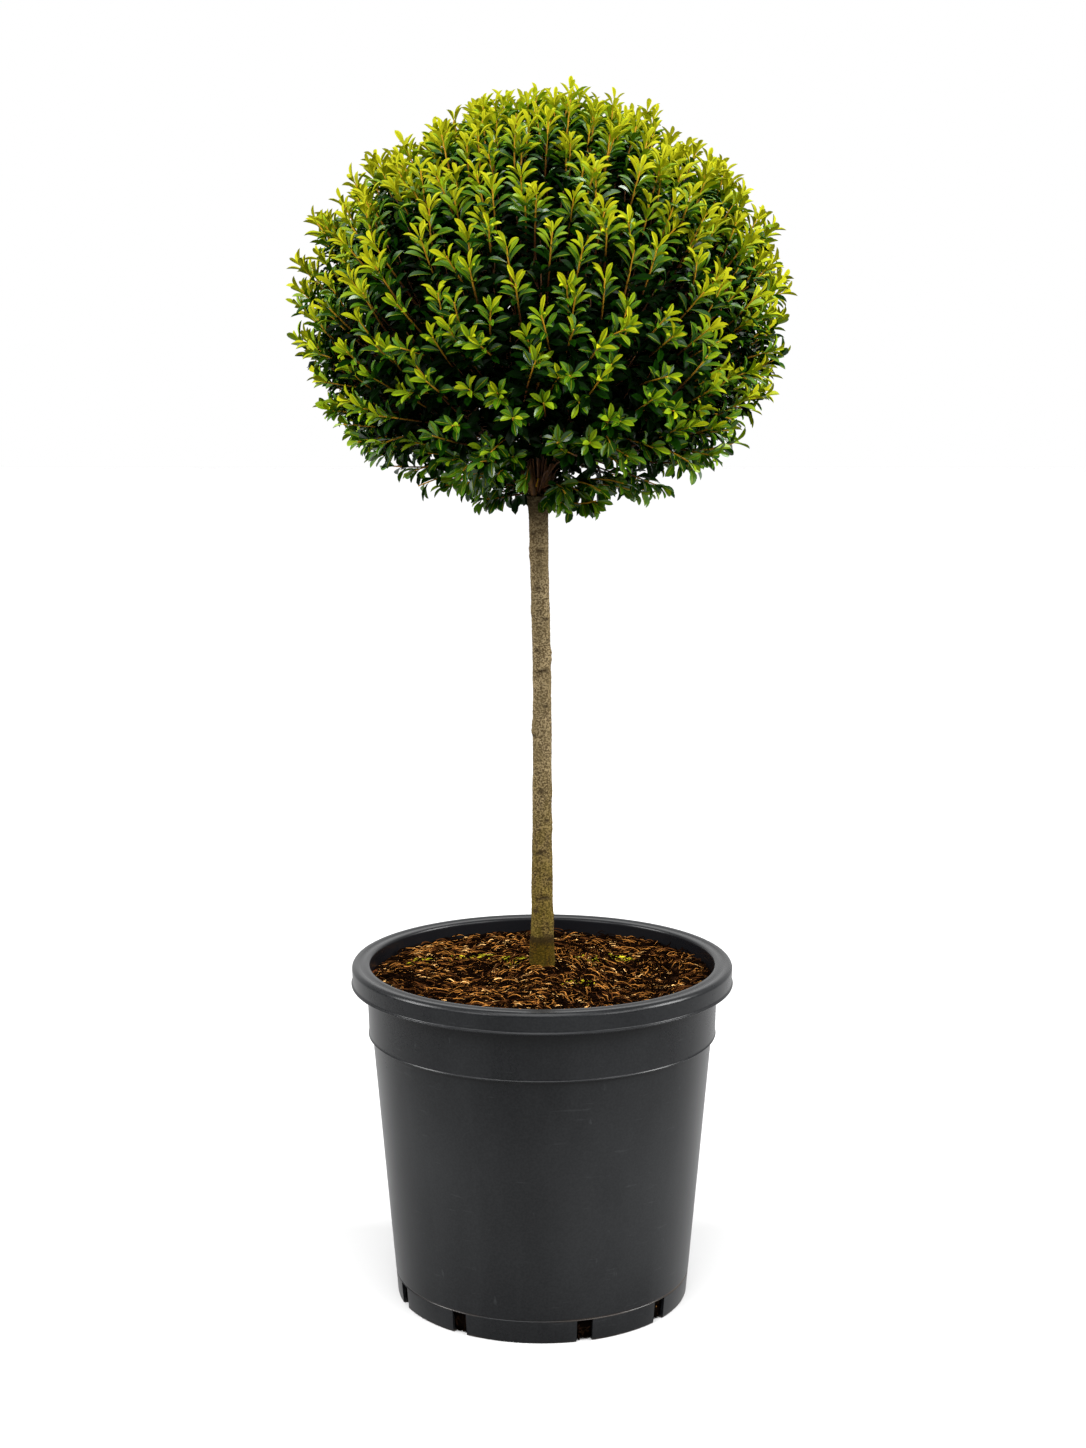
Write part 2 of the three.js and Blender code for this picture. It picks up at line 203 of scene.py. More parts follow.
# The heights that leaves face away from, in the ball and at its foot
LEAF_HEART = 0.88
LOW_LEAF_HEART = 0.74
# Degrees that a leaf opens from its shoot, at the shoot's foot and at its tip
OPENING = (66, 26)
# How round a shoot is: below 1 its leaves lie more to its two sides, as in a feather
FLATNESS = 0.6
# Leaves keep this far from the trunk's axis, up to this far over the fork
TRUNK_ROOM = 0.013
TRUNK_ROOM_TOP = 0.02
# The gap in the leaves that shows the fork: its half width, its half height, its middle over the
# fork, and how much it climbs towards the front
FORK_GAP_WIDTH = 0.0085
FORK_GAP_HEIGHT = 0.01445
FORK_GAP_MIDDLE = 0.020
SIGHT_SLOPE = 0.07
# How far past the plain outline a leaf may end, as a share of it
LEAF_LIMIT = 1.06

# The tints stand for the leaves' age and also carry painted light: the darkest is painted shade for leaves
# deep in the ball, and the lighter ones are partly painted light
# Each tint with its roughness, its gloss and its rows of points: grown leaves are the glossiest
LEAF_TINTS = (
    ("shade", (0.0016, 0.008, 0.0006), 0.30, 0.03, 4),
    ("old", (0.005, 0.029, 0.0007), 0.24, 0.05, 5),
    ("grown", (0.016, 0.070, 0.0012), 0.23, 0.30, 7),
    ("green", (0.066, 0.166, 0.003), 0.27, 0.32, 7),
    ("fresh", (0.206, 0.310, 0.004), 0.35, 0.14, 7),
    ("young", (0.334, 0.374, 0.005), 0.44, 0.06, 7),
    ("tip", (0.370, 0.376, 0.007), 0.50, 0.05, 7),
)

# The stage: half of the floor, the lamp overhead, and the soft lamps with place, size and power
FLOOR_HALF = 12.0
OVERHEAD_PLACE = (-0.12, -1.15, 2.50)
OVERHEAD_SPREAD = math.radians(44)
LAMPS = (
    ("front_left", (-2.2, -2.6, 2.0), 1.4, 50),
    ("front_right", (2.4, -2.3, 1.9), 1.4, 62),
    ("side_left", (-3.0, -0.4, 1.8), 1.2, 108),
    ("side_right", (3.0, -0.4, 1.8), 1.2, 136),
)
LAMP_AIM = Vector((0, 0, 0.75))
SENSOR = 36.0
CAMERA_SIDE = 0.0008


# Settings that a user would change


def colour(name, description, default):
    return FloatVectorProperty(
        name=name, description=description, subtype="COLOR", size=3, min=0, max=1, default=default
    )


def number(name, description, default, **unit):
    return FloatProperty(name=name, description=description, default=default, **unit)


def amount(name, description, default):
    return IntProperty(name=name, description=description, default=default, min=1)


class PotSettings(bpy.types.PropertyGroup):
    plastic: colour("Plastic", "Colour of the moulded pot", (0.0024, 0.0028, 0.0035))
    dust: colour("Dust", "Colour of the dry dust and scuffs on it", (0.074, 0.077, 0.080))


class MixSettings(bpy.types.PropertyGroup):
    chips: amount("Chips", "Bark chips on the surface", 2300)
    chip_length: number("Chip length", "Length of a typical chip", 0.0070, unit="LENGTH")
    fibres: amount("Fibres", "Loose fibres on the surface", 6400)
    dark: colour("Dark mix", "Colour of the damp mix", (0.007, 0.0035, 0.002))
    bark: colour("Bark chip", "Colour of most of the chips", (0.042, 0.015, 0.0045))


class TrunkSettings(bpy.types.PropertyGroup):
    relief: number("Bark relief", "Depth of the bark's furrows", 0.00042, unit="LENGTH")
    bark: colour("Bark", "Colour of the grown bark", (0.276, 0.212, 0.114))
    moss: colour("Moss", "Colour of the green film at the foot", (0.165, 0.125, 0.013))
    twig: colour("Young wood", "Colour of the youngest twigs", (0.560, 0.285, 0.018))
    branch: colour("Branch", "Colour of the wood inside the ball", (0.215, 0.092, 0.018))


class FoliageSettings(bpy.types.PropertyGroup):
    seed: IntProperty(name="Seed", description="Seed of the growth", default=7, min=0)
    shoots: amount("Shoots", "Leafy shoots at the surface", 700)
    inner_shoots: amount("Inner shoots", "Shaded shoots under the surface", 1000)
    leaf_length: number("Leaf length", "Length of a full-grown leaf", 0.0196, unit="LENGTH")
    leaf_width: number("Leaf width", "Width of a full-grown leaf", 0.0060, unit="LENGTH")


class StageSettings(bpy.types.PropertyGroup):
    lens: number("Lens", "Focal length of the camera, in millimetres", 61.06)
    distance: number("Distance", "Camera to the pot's axis", 2.246, unit="LENGTH")
    height: number("Height", "Camera above the floor", 0.932, unit="LENGTH")
    tilt: number("Tilt", "How far the camera looks down", math.radians(9.69), subtype="ANGLE")
    overhead: number("Overhead", "Strength of the soft light above", 2.72)
    floor: colour("Floor", "Colour of the floor", (0.70, 0.70, 0.70))


# Small helpers


def lerp(a, b, t):
    return a + (b - a) * t


def smoothstep(low, high, x):
    t = np.clip((x - low) / (high - low), 0, 1)
    return t * t * (3 - 2 * t)


def unit(vectors):
    return vectors / np.linalg.norm(vectors, axis=-1, keepdims=True)


def outward(angle):
    """The level direction at an angle round from the front, or one for each angle."""
    return np.stack([np.sin(angle), -np.cos(angle), 0 * angle], -1)


def smooth_faces(mesh):
    mesh.polygons.foreach_set("use_smooth", [True] * len(mesh.polygons))


def mesh_object(name, vertices, faces=(), edges=()):
    """A new object at the origin that holds the given mesh."""
    mesh = bpy.data.meshes.new(name)
    mesh.from_pydata([tuple(map(float, v)) for v in vertices], edges, faces)
    smooth_faces(mesh)
    piece = bpy.data.objects.new(name, mesh)
    bpy.context.scene.collection.objects.link(piece)
    return piece


def set_attribute(mesh, name, values):
    """Keeps a number or a vector at each point."""
    values = np.asarray(values, np.float32)
    kind, field = ("FLOAT_VECTOR", "vector") if values.ndim == 2 else ("FLOAT", "value")
    mesh.attributes.new(name, kind, "POINT").data.foreach_set(field, values.ravel())


def settle(piece):
    """Turns an object and its modifiers into a plain mesh."""
    depsgraph = bpy.context.evaluated_depsgraph_get()
    depsgraph.update()
    mesh = bpy.data.meshes.new_from_object(piece.evaluated_get(depsgraph), depsgraph=depsgraph)
    piece.modifiers.clear()
    piece.data = mesh
    for name in [a.name for a in mesh.attributes if a.name in ("turn", "size", "radius")]:
        mesh.attributes.remove(mesh.attributes[name])
    return piece


def attach(piece, slot, *nodes):
    """Rides the piece on the plant's body, in place of the nodes given, if any. The slot is not used."""
    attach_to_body(piece, BODY)
    if nodes:
        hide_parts(*nodes)


def modify(piece, tree, **inputs):
    """Adds a node modifier, its inputs set by the name that each has in the tree."""
    modifier = piece.modifiers.new(tree.name, "NODES")
    modifier.node_group = tree
    for item in tree.interface.items_tree:
        if item.item_type == "SOCKET" and item.in_out == "INPUT" and item.name in inputs:
            modifier[item.identifier] = inputs[item.name]
    return piece


class Tree:
    """A node tree under construction.

    A node's inputs go by name or number, and each is given a value, a socket or a node, whose first
    output is then meant.
    """

    def __init__(self, tree):
        self.tree = tree

    def add(self, kind, inputs=None, **settings):
        node = self.tree.nodes.new(kind)
        for key, value in settings.items():
            setattr(node, key, value)
        for key, value in (inputs or {}).items():
            self.feed(node.inputs[key], value)
        return node

    def feed(self, socket, value):
        if isinstance(value, bpy.types.Node):
            value = value.outputs[0]
        if isinstance(value, bpy.types.NodeSocket):
            self.tree.links.new(value, socket)
        elif socket.type == "RGBA":
            socket.default_value = (*value, 1)
        else:
            socket.default_value = value

    def math(self, operation, *values, kind="ShaderNodeMath"):
        return self.add(kind, dict(enumerate(values)), operation=operation).outputs[0]

    def vector(self, operation, *values):
        return self.math(operation, *values, kind="ShaderNodeVectorMath")

    def reach(self, vector):
        return self.add("ShaderNodeVectorMath", {0: vector}, operation="LENGTH").outputs["Value"]

    def join(self, x, y, z):
        return self.add("ShaderNodeCombineXYZ", {0: x, 1: y, 2: z})

    def split(self, vector):
        return self.add("ShaderNodeSeparateXYZ", {0: vector}).outputs

    def between(self, value, low, high, ends=(0.0, 1.0), how="SMOOTHSTEP"):
        """The first end at low and the second at high."""
        inputs = {"Value": value, "From Min": low, "From Max": high, "To Min": ends[0], "To Max": ends[1]}
        return self.add("ShaderNodeMapRange", inputs, interpolation_type=how).outputs[0]

    def band(self, value, start, full, fade, end):
        """0 outside a band and 1 in its middle, smooth at both edges."""
        return self.math("MULTIPLY", self.between(value, start, full), self.between(value, end, fade))


class Group(Tree):
    """A node group whose sockets are each given by a default, or by their kind in words."""

    def __init__(self, name, kind, inputs, outputs):
        super().__init__(bpy.data.node_groups.new(name, kind))
        for way, sockets in (("INPUT", inputs), ("OUTPUT", outputs)):
            for socket, given in sockets.items():
                sort = given if isinstance(given, str) else type(given).__name__.title()
                made = self.tree.interface.new_socket(socket, in_out=way, socket_type="NodeSocket" + sort)
                if sort != given:
                    made.default_value = given
        self.start = self.add("NodeGroupInput")

    def input(self, name):
        return self.start.outputs[name]

    def stored(self, name, kind="FLOAT"):
        node = self.add("GeometryNodeInputNamedAttribute", {"Name": name}, data_type=kind)
        return node.outputs["Attribute"]

    def finish(self, *results):
        self.add("NodeGroupOutput", dict(enumerate(results)))
        return self.tree

    def dressed(self, geometry):
        """Ends a geometry tree with real faces in the material that it was given."""
        real = self.add("GeometryNodeRealizeInstances", {0: geometry})
        inputs = {"Geometry": real, "Material": self.input("Material")}
        return self.finish(self.add("GeometryNodeSetMaterial", inputs))


# Surfaces


class Material(Tree):
    """A material under construction, with its surface shader ready."""

    def __init__(self, name, roughness, gloss):
        self.material = bpy.data.materials.new(name)
        self.material.use_nodes = True
        super().__init__(self.material.node_tree)
        self.surface = self.tree.nodes["Principled BSDF"].inputs
        self.surface["Roughness"].default_value = roughness
        self.surface["Specular IOR Level"].default_value = gloss
        self.place = self.add("ShaderNodeTexCoord").outputs["Object"]

    def mottle(self, scale, squash, low, high):
        values = {"Place": self.place, "Scale": scale, "Squash": squash, "Low": low, "High": high}
        return self.add("ShaderNodeGroup", values, node_tree=mottle()).outputs

    def stored(self, name):
        return self.add("ShaderNodeAttribute", attribute_name=name).outputs["Fac"]

    def blend(self, share, a, b):
        return self.add("ShaderNodeMix", {0: share, 6: a, 7: b}, data_type="RGBA").outputs[2]

    def cover(self, tone, mask, strength, coat):
        """The tone with a coat over it where the mask is."""
        return self.blend(self.math("MULTIPLY", mask, strength), tone, coat)

    def done(self, tone, height=None, depth=0.001, strength=1.0, roughness=None):
        self.feed(self.surface["Base Color"], tone)
        if roughness is not None:
            self.feed(self.surface["Roughness"], roughness)
        if height is not None:
            inputs = {"Height": height, "Distance": depth, "Strength": strength}
            self.feed(self.surface["Normal"], self.add("ShaderNodeBump", inputs))
        return self.material


@functools.cache
def mottle():
    """Soft blotches with finer grain in them, stretched along Z: a mask, and a height for a bump."""
    inputs = {"Place": "Vector", "Scale": 40.0, "Squash": 1.0, "Low": 0.4, "High": 0.6}
    t = Group("Mottle", "ShaderNodeTree", inputs, {"Mask": "Float", "Height": "Float"})
    scale = t.input("Scale")
    place = t.vector("MULTIPLY", t.input("Place"), t.join(1.0, 1.0, t.input("Squash")))
    broad = t.add("ShaderNodeTexNoise", {"Vector": place, "Scale": scale, "Detail": 5.0})
    fine_scale = t.math("MULTIPLY", scale, 6.0)
    fine = t.add("ShaderNodeTexNoise", {"Vector": place, "Scale": fine_scale, "Detail": 3.0})
    mask = t.between(broad, t.input("Low"), t.input("High"))
    return t.finish(mask, t.math("MULTIPLY_ADD", fine, 0.35, broad))


def plastic_material(settings):
    m = Material("pot_plastic", 0.5, 0.19)
    blotch = m.mottle(9.0, 0.45, 0.36, 0.70)["Mask"]
    streak = m.mottle(60.0, 0.05, 0.50, 0.74)["Mask"]
    scuff = m.mottle(34.0, 9.0, 0.66, 0.71)["Mask"]
    rub = m.mottle(130.0, 0.35, 0.70, 0.76)["Mask"]
    grain = m.mottle(520.0, 1.0, 0.35, 0.65)
    z = m.split(m.place)["Z"]
    # Painted light: the wall is lighter towards its middle and darker up at the collar under the rim,
    # where shade falls; it goes in with the dust and shares its colour
    wall = m.band(z, -0.02, 0.10, 0.150, 0.255)
    dust_and_wall_light = 0.0
    for mask, strength in (
        (blotch, 0.10), (streak, 0.02), (scuff, 0.10), (rub, 0.14), (grain["Mask"], 0.05), (wall, 0.07)
    ):
        dust_and_wall_light = m.math("MULTIPLY_ADD", mask, strength, dust_and_wall_light)
    tone = m.blend(dust_and_wall_light, settings.plastic, settings.dust)
    groove = m.band(z, FOOT_LINE - 0.0015, FOOT_LINE - 0.0002, FOOT_LINE + 0.0002, FOOT_LINE + 0.0014)
    edge = m.between(z, 0.0022, 0.0008)
    dirt = m.math("MULTIPLY", m.math("MAXIMUM", groove, edge), blotch)
    tone = m.cover(tone, dirt, 0.55, (0.080, 0.055, 0.035))
    # Painted shade: the inside of the pot above the mix is darkened nearly to black
    inner = COLLAR_RADIUS - WALL
    across = m.reach(m.vector("MULTIPLY", m.place, (1.0, 1.0, 0.0)))
    inside = m.between(across, inner + 0.0015, inner + 0.0005)
    inside = m.math("MULTIPLY", inside, m.between(z, 0.29, 0.30))
    tone = m.cover(tone, inside, 0.9, (0.004, 0.004, 0.005))
    return m.done(tone, grain["Height"], 0.0001, 0.15, m.math("MULTIPLY_ADD", dust_and_wall_light, 0.2, 0.27))


def mix_material(settings):
    m = Material("damp_mix", 0.95, 0.0)
    crumb = m.mottle(150.0, 1.0, 0.38, 0.66)
    patch = m.mottle(30.0, 1.0, 0.4, 0.7)["Mask"]
    tone = m.blend(crumb["Mask"], settings.dark, settings.bark)
    tone = m.cover(tone, patch, 0.5, (0.012, 0.007, 0.005))
    # Painted shade: the mix below its top, seen through the notches, is darkened nearly to black
    deep = m.between(m.split(m.place)["Z"], 0.29, 0.25)
    return m.done(m.blend(deep, tone, (0.0022, 0.0014, 0.0010)), crumb["Height"], 0.0016)


def bark_material(settings):
    m = Material("trunk_bark", 0.85, 0.05)
    z = m.split(m.place)["Z"]
    grain = m.mottle(540.0, 1.3, 0.42, 0.60)
    wrinkle = m.mottle(150.0, 2.6, 0.56, 0.66)["Mask"]
    patch = m.mottle(70.0, 0.6, 0.42, 0.62)["Mask"]
    green = m.mottle(110.0, 0.5, 0.36, 0.60)
    tone = m.blend(grain["Mask"], (0.068, 0.046, 0.022), settings.bark)
    tone = m.cover(tone, patch, 0.50, (0.120, 0.088, 0.040))
    tone = m.cover(tone, wrinkle, 0.40, (0.045, 0.032, 0.016))
    # Olive on the lower half, with a film of moss, and darker and browner near the fork: painted shade
    # under the ball
    lower = m.between(z, 0.56, 0.36)
    olive = m.blend(grain["Mask"], (0.018, 0.011, 0.002), (0.122, 0.080, 0.017))
    tone = m.cover(tone, lower, 0.88, olive)
    # Painted shade under the ball, near the fork
    tone = m.cover(tone, m.between(z, 0.665, 0.745), 0.50, (0.085, 0.058, 0.026))
    tone = m.cover(tone, m.math("MULTIPLY", lower, green["Mask"]), 0.25, settings.moss)
    # Painted shade in the creases of the bark
    tone = m.cover(tone, m.between(m.stored("crease"), 0.10, 0.90), 0.75, (0.034, 0.023, 0.011))
    # Damp at the foot, with a dark ring over it, both uneven
    uneven = m.math("MULTIPLY_ADD", green["Height"], 0.009, z)
    damp = m.blend(grain["Mask"], (0.014, 0.008, 0.001), (0.062, 0.032, 0.0012))
    damp = m.cover(damp, green["Mask"], 0.4, (0.050, 0.036, 0.001))
    tone = m.cover(tone, m.between(uneven, 0.3545, 0.3505), 0.92, damp)
    ring = m.band(uneven, 0.3440, 0.3500, 0.3525, 0.3565)
    tone = m.cover(tone, ring, 0.85, (0.018, 0.011, 0.003))
    return m.done(tone, m.math("MULTIPLY_ADD", wrinkle, -0.5, grain["Height"]), 0.0007)


def wood_material(name, tone, dark, roughness, gloss=0.4, grain=(170.0, 0.5, 0.36, 0.64), depth=0.0003):
    m = Material(name, roughness, gloss)
    grain = m.mottle(*grain)
    return m.done(m.blend(grain["Mask"], dark, tone), grain["Height"], depth)


def shoot_material(foot, tip):
    """Brown at the shoot's foot and orange in its newest wood."""
    m = Material("shoot_bark", 0.6, 0.12)
    grain = m.mottle(260.0, 1.0, 0.36, 0.64)
    return m.done(m.blend(m.between(m.stored("newness"), 0.30, 0.92), foot, tip), grain["Height"], 0.0002)


def leaf_material(name, tone, roughness, gloss):
    """Plain, because a pattern on thousands of small leaves would not keep its place."""
    return Material("leaf_" + name, roughness, gloss).done(tone)


# Meshes


def rounded(profile, radius, steps=3):
    """The profile with each inner corner turned into a short curve."""
    points = [np.array(p, float) for p in profile]
    made = [points[0]]
    for before, corner, after in zip(points, points[1:], points[2:]):
        reach_in = min(radius, 0.4 * np.linalg.norm(before - corner))
        reach_out = min(radius, 0.4 * np.linalg.norm(after - corner))
        start = corner + reach_in * unit(before - corner)
        end = corner + reach_out * unit(after - corner)
        for t in np.linspace(0, 1, steps + 1):
            made.append((1 - t) ** 2 * start + 2 * t * (1 - t) * corner + t**2 * end)
    return made + [points[-1]]


def turned(profile, sides):
    """Vertices and faces of a profile that starts and ends on the Z axis, turned about it."""
    ring = outward(np.arange(sides) * 2 * math.pi / sides)
    vertices = [(0, 0, profile[0][1])]
    for r, z in profile[1:-1]:
        vertices += [(r * x, r * y, z) for x, y, _ in ring]
    vertices.append((0, 0, profile[-1][1]))
    rings, last = len(profile) - 2, len(vertices) - 1

    def at(i, j):
        return 1 + i * sides + j % sides

    faces = []
    for j in range(sides):
        faces.append((0, at(0, j + 1), at(0, j)))
        faces.append((last, at(rings - 1, j), at(rings - 1, j + 1)))
        faces += [(at(i, j), at(i, j + 1), at(i + 1, j + 1), at(i + 1, j)) for i in range(rings - 1)]
    return vertices, faces


def wall_radius(z):
    return FOOT_RADIUS + TAPER * z


def inside_corners():
    """The corners of the pot's inside, from its floor up to its lip."""
    return [
        (wall_radius(WALL) - WALL, WALL),
        (wall_radius(SHOULDER) - WALL, SHOULDER + 0.006),
        (wall_radius(SHOULDER) + COLLAR_STEP - WALL, COLLAR_FOOT + 0.0045),
        (COLLAR_RADIUS - WALL, POT_HEIGHT - LIP_ROUND),
    ]


def pot_profile():
    """Half of the pot's section, from the middle of its underside round to the middle of its floor."""
    collar = wall_radius(SHOULDER) + COLLAR_STEP
    foot, roof = POT_HEIGHT - RIM_DEPTH, POT_HEIGHT - RIM_ROOF
    face, lip = RIM_RADIUS - 0.0009, COLLAR_RADIUS - WALL
    outside = [
        # The wall, with the groove of the foot line
        (0, 0), (FOOT_RADIUS, 0), (wall_radius(FOOT_LINE - GROOVE), FOOT_LINE - GROOVE),
        (wall_radius(FOOT_LINE) - GROOVE, FOOT_LINE),
        (wall_radius(FOOT_LINE + GROOVE), FOOT_LINE + GROOVE),
        # The collar, with its bead
        (wall_radius(COLLAR_FOOT), COLLAR_FOOT), (collar, COLLAR_FOOT + 0.0004),
        (collar + BEAD, COLLAR_FOOT + 0.0009), (collar + BEAD, COLLAR_FOOT + 0.0015),
        (collar, COLLAR_FOOT + 0.0024), (COLLAR_RADIUS, foot), (COLLAR_RADIUS, roof),
        # The skirt of the rim, and its face
        (RIM_RADIUS - SKIRT, roof), (RIM_RADIUS - SKIRT, foot), (RIM_RADIUS - 0.0006, foot),
        (RIM_RADIUS - 0.0001, foot + 0.0014), (face - 0.0007, foot + 0.0024),
        # The top of the rim, slightly hollow
        (face, POT_HEIGHT - 0.0032), (face - 0.0024, POT_HEIGHT), (face - 0.0058, POT_HEIGHT - 0.0001),
        (face - 0.0080, POT_HEIGHT - 0.0010), (lip + 0.0072, POT_HEIGHT - 0.0010),
        (lip + 0.0040, POT_HEIGHT - 0.0002), (lip + 0.0010, POT_HEIGHT - 0.0006),
        # Down the inside
        (lip, POT_HEIGHT - 0.0024), *inside_corners()[-2::-1], (0, WALL),
    ]
    return rounded(outside, CORNER_ROUND)


def notch_angles():
    return [
        math.radians(pair + half + side * NOTCH_SPREAD)
        for pair in NOTCH_PAIRS
        for half in (0, 180)
        for side in (-0.5, 0.5)
    ]


def make_pot():
    """The pot, with its drainage notches cut through the wall and the edge of the floor."""
    pot = mesh_object("nursery_pot", *turned(pot_profile(), POT_SIDES))
    depth = RIM_RADIUS - NOTCH_INNER
    box = ((0, 3, 2, 1), (4, 5, 6, 7), (0, 1, 5, 4), (1, 2, 6, 5), (2, 3, 7, 6), (3, 0, 4, 7))
    corners, faces = [], []
    for out in map(outward, notch_angles()):
        across = np.cross(UP, out)
        faces += [tuple(len(corners) + k for k in face) for face in box]
        for z in (-NOTCH_HEIGHT, NOTCH_HEIGHT):
            for x, y in ((0, -0.5), (depth, -0.5), (depth, 0.5), (0, 0.5)):
                corners.append(out * (NOTCH_INNER + x) + across * y * NOTCH_WIDTH + UP * z)
    cutter = mesh_object("notches", corners, faces)
    cut = pot.modifiers.new("Notches", "BOOLEAN")
    cut.object, cut.operation, cut.solver = cutter, "DIFFERENCE", "EXACT"
    settle(pot)
    bpy.data.objects.remove(cutter)
    smooth_faces(pot.data)
    pot.data.set_sharp_from_angle(angle=math.radians(30))
    return pot


def mix_height(x, y):
    """Height of the mix over a point, with its coarse lumps."""
    r = math.hypot(x, y)
    base = lerp(MIX_EDGE, MIX_CREST, smoothstep(COLLAR_RADIUS - WALL, CREST_RADIUS, r))
    lumps = noise.fractal(Vector((x, y, 0.2)) * 75, 0.9, 2.1, 4) * MIX_LUMPS
    swells = noise.noise(Vector((x, y, 3.0)) * 18) * MIX_SWELLS
    near_trunk = smoothstep(0.030, 0.012, r)
    return base - MIX_SUNK + (lumps + swells) * (1 - near_trunk) + TRUNK_MOUND * near_trunk


def make_mix():
    """The body of the mix: a closed block whose top is rough."""
    sides, rings, rise = 200, 76, 0.006
    corners = inside_corners()
    floor = WALL + MIX_GAP
    profile = [(0, floor)]
    for (r0, z0), (r1, z1) in zip(corners, corners[1:]):
        high = min(z1, MIX_EDGE)
        steps = max(2, int((high - z0) / rise))
        for z in (lerp(z0, high, k / steps) for k in range(steps)):
            profile.append((lerp(r0, r1, (z - z0) / (z1 - z0)) - MIX_GAP, max(z, floor)))
    rim = profile[-1][0]
    profile += [(lerp(rim, 0, k / rings), MIX_EDGE) for k in range(rings)]
    profile.append((0, MIX_EDGE))
    vertices, faces = turned(profile, sides)
    shaped = []
    for x, y, z in vertices:
        if z >= MIX_EDGE - 1e-6:
            z = mix_height(x, y)
        elif z > WALL + 0.002:
            dent = WALL_DENTS * (0.5 + 0.5 * noise.noise(Vector((x, y, z)) * 140)) / math.hypot(x, y)
            x, y = x * (1 - dent), y * (1 - dent)
        shaped.append((x, y, z))
    return mesh_object("potting_mix_bed", shaped, faces)


def trunk_centre(z):
    share = (z - MIX_CREST) / (FORK - MIX_CREST)
    x = LEAN * smoothstep(LEAN_FROM, FORK, z)
    return np.stack([x, SWAY * np.sin(np.pi * share), z], -1)


def trunk_radius(z):
    flare = FLARE * np.exp(-(z - MIX_CREST) / FLARE_FADE)
    swell = FORK_SWELL * np.exp(-(FORK - z) / FORK_FADE)
    return TRUNK_RADIUS + flare + swell


def bark_relief(x, y, z):
    """How far the bark stands out at a direction and height, in shares of its relief."""
    grain = noise.fractal(Vector((x * 6, y * 6, z * 520)), 0.8, 2.2, 3)
    ridge = noise.noise(Vector((x * 1.6, y * 1.6, z * 60)))
    wrinkle = max(0, noise.noise(Vector((x * 2.5, y * 2.5, z * 330))) - 0.3)
    return 0.8 * grain + 1.2 * ridge - 2.0 * wrinkle


def make_trunk(relief):
    """The trunk with its bark: furrows along it, fine pores across it, scars and creases."""
    sides, rings = 72, 640
    heights = np.linspace(TRUNK_FOOT, FORK, rings)
    out = outward(np.arange(sides) * 2 * math.pi / sides)
    level = heights[:, None]
    radius = trunk_radius(level)
    rough = np.array([[bark_relief(x, y, z) for x, y, _ in out] for z in heights])
    bulge = BARK + FOOT_SLEEVE * smoothstep(*SLEEVE_FADE, level) + relief * rough
    for height, azimuth, size in KNOTS:
        apart = np.abs(level - height) / KNOT_HEIGHT
        facing = np.maximum(0, out @ outward(math.radians(azimuth)))
        eye = np.exp(-((apart * 2.6) ** 2)) * facing**24
        bulge += size * (facing**4 * np.exp(-(apart**2)) - 0.9 * eye) * (apart < 3)
    crease = np.zeros_like(bulge)
    for height, azimuth, half_width in CREASES:
        across = radius * np.arccos(np.clip(out @ outward(math.radians(azimuth)), -1, 1))
        apart = (level - height + CREASE_BEND * across**2) / CREASE_HEIGHT
        reach = np.exp(-((across / half_width) ** 2)) * (np.abs(level - height) < CREASE_REACH)
        crease = np.maximum(crease, np.exp(-(apart**2)) * reach)
        bulge += CREASE_LIP * np.exp(-(((apart - 2) / 2) ** 2)) * reach
    bulge -= CREASE_DEPTH * crease
    vertices = trunk_centre(heights)[:, None] + out * (radius + bulge)[..., None]
    beside = [(j, (j + 1) % sides) for j in range(sides)]
    starts = range(0, (rings - 1) * sides, sides)
    faces = [(i + j, i + k, i + sides + k, i + sides + j) for i in starts for j, k in beside]
    faces.append(tuple(range(sides))[::-1])
    faces.append(tuple(range((rings - 1) * sides, rings * sides)))
    trunk = mesh_object("trunk_with_bark", vertices.reshape(-1, 3), faces)
    set_attribute(trunk.data, "crease", crease.ravel())
    return trunk


# Growth: the source's rule, carried on to finer twigs


def fullness(up):
    return np.where(up > 0, UPPER_POWER, LOWER_POWER)


def on_ball(direction, inset=0.0):
    """The point of the ball's outline in each direction, or that far inside it."""
    power = fullness(direction[:, 2])
    flat = np.hypot(direction[:, 0], direction[:, 1]) / (BALL_RADIUS - inset)
    up = np.abs(direction[:, 2]) / (BALL_HALF_HEIGHT - inset)
    reach = (flat**power + up**power) ** (-1 / power)
    for way, size in SWELLS:
        apart = np.linalg.norm(direction - unit(np.array(way)), axis=1)
        reach = reach * (1 + size * np.exp(-((apart / SWELL_WIDTH) ** 2) / 2))
    return direction * reach[:, None] + UP * BALL_CENTRE


def share_of_ball(point):
    """How far out each point is, as a share of the plain outline."""
    up = point[..., 2] - BALL_CENTRE
    power = fullness(up)
    flat = np.hypot(point[..., 0], point[..., 1]) / BALL_RADIUS
    return (flat**power + (np.abs(up) / BALL_HALF_HEIGHT) ** power) ** (1 / power)


def spread_out(count, rng, scatter):
    """Directions spread evenly over a sphere, each then nudged."""
    up = 1 - (2 * np.arange(count) + 1) / count
    flat = np.sqrt(1 - up**2)
    angle = np.arange(count) * GOLDEN_ANGLE
    even = np.stack([flat * np.cos(angle), flat * np.sin(angle), up], 1)
    spacing = math.sqrt(4 * math.pi / count)
    return unit(even + rng.normal(0, scatter * spacing, even.shape))


def bezier(start, middle, end, steps):
    """Points along quadratic curves: one row of points for each curve."""
    t = np.linspace(0, 1, steps)[None, :, None]
    a, b, c = start[:, None], middle[:, None], end[:, None]
    return (1 - t) ** 2 * a + 2 * t * (1 - t) * b + t**2 * c


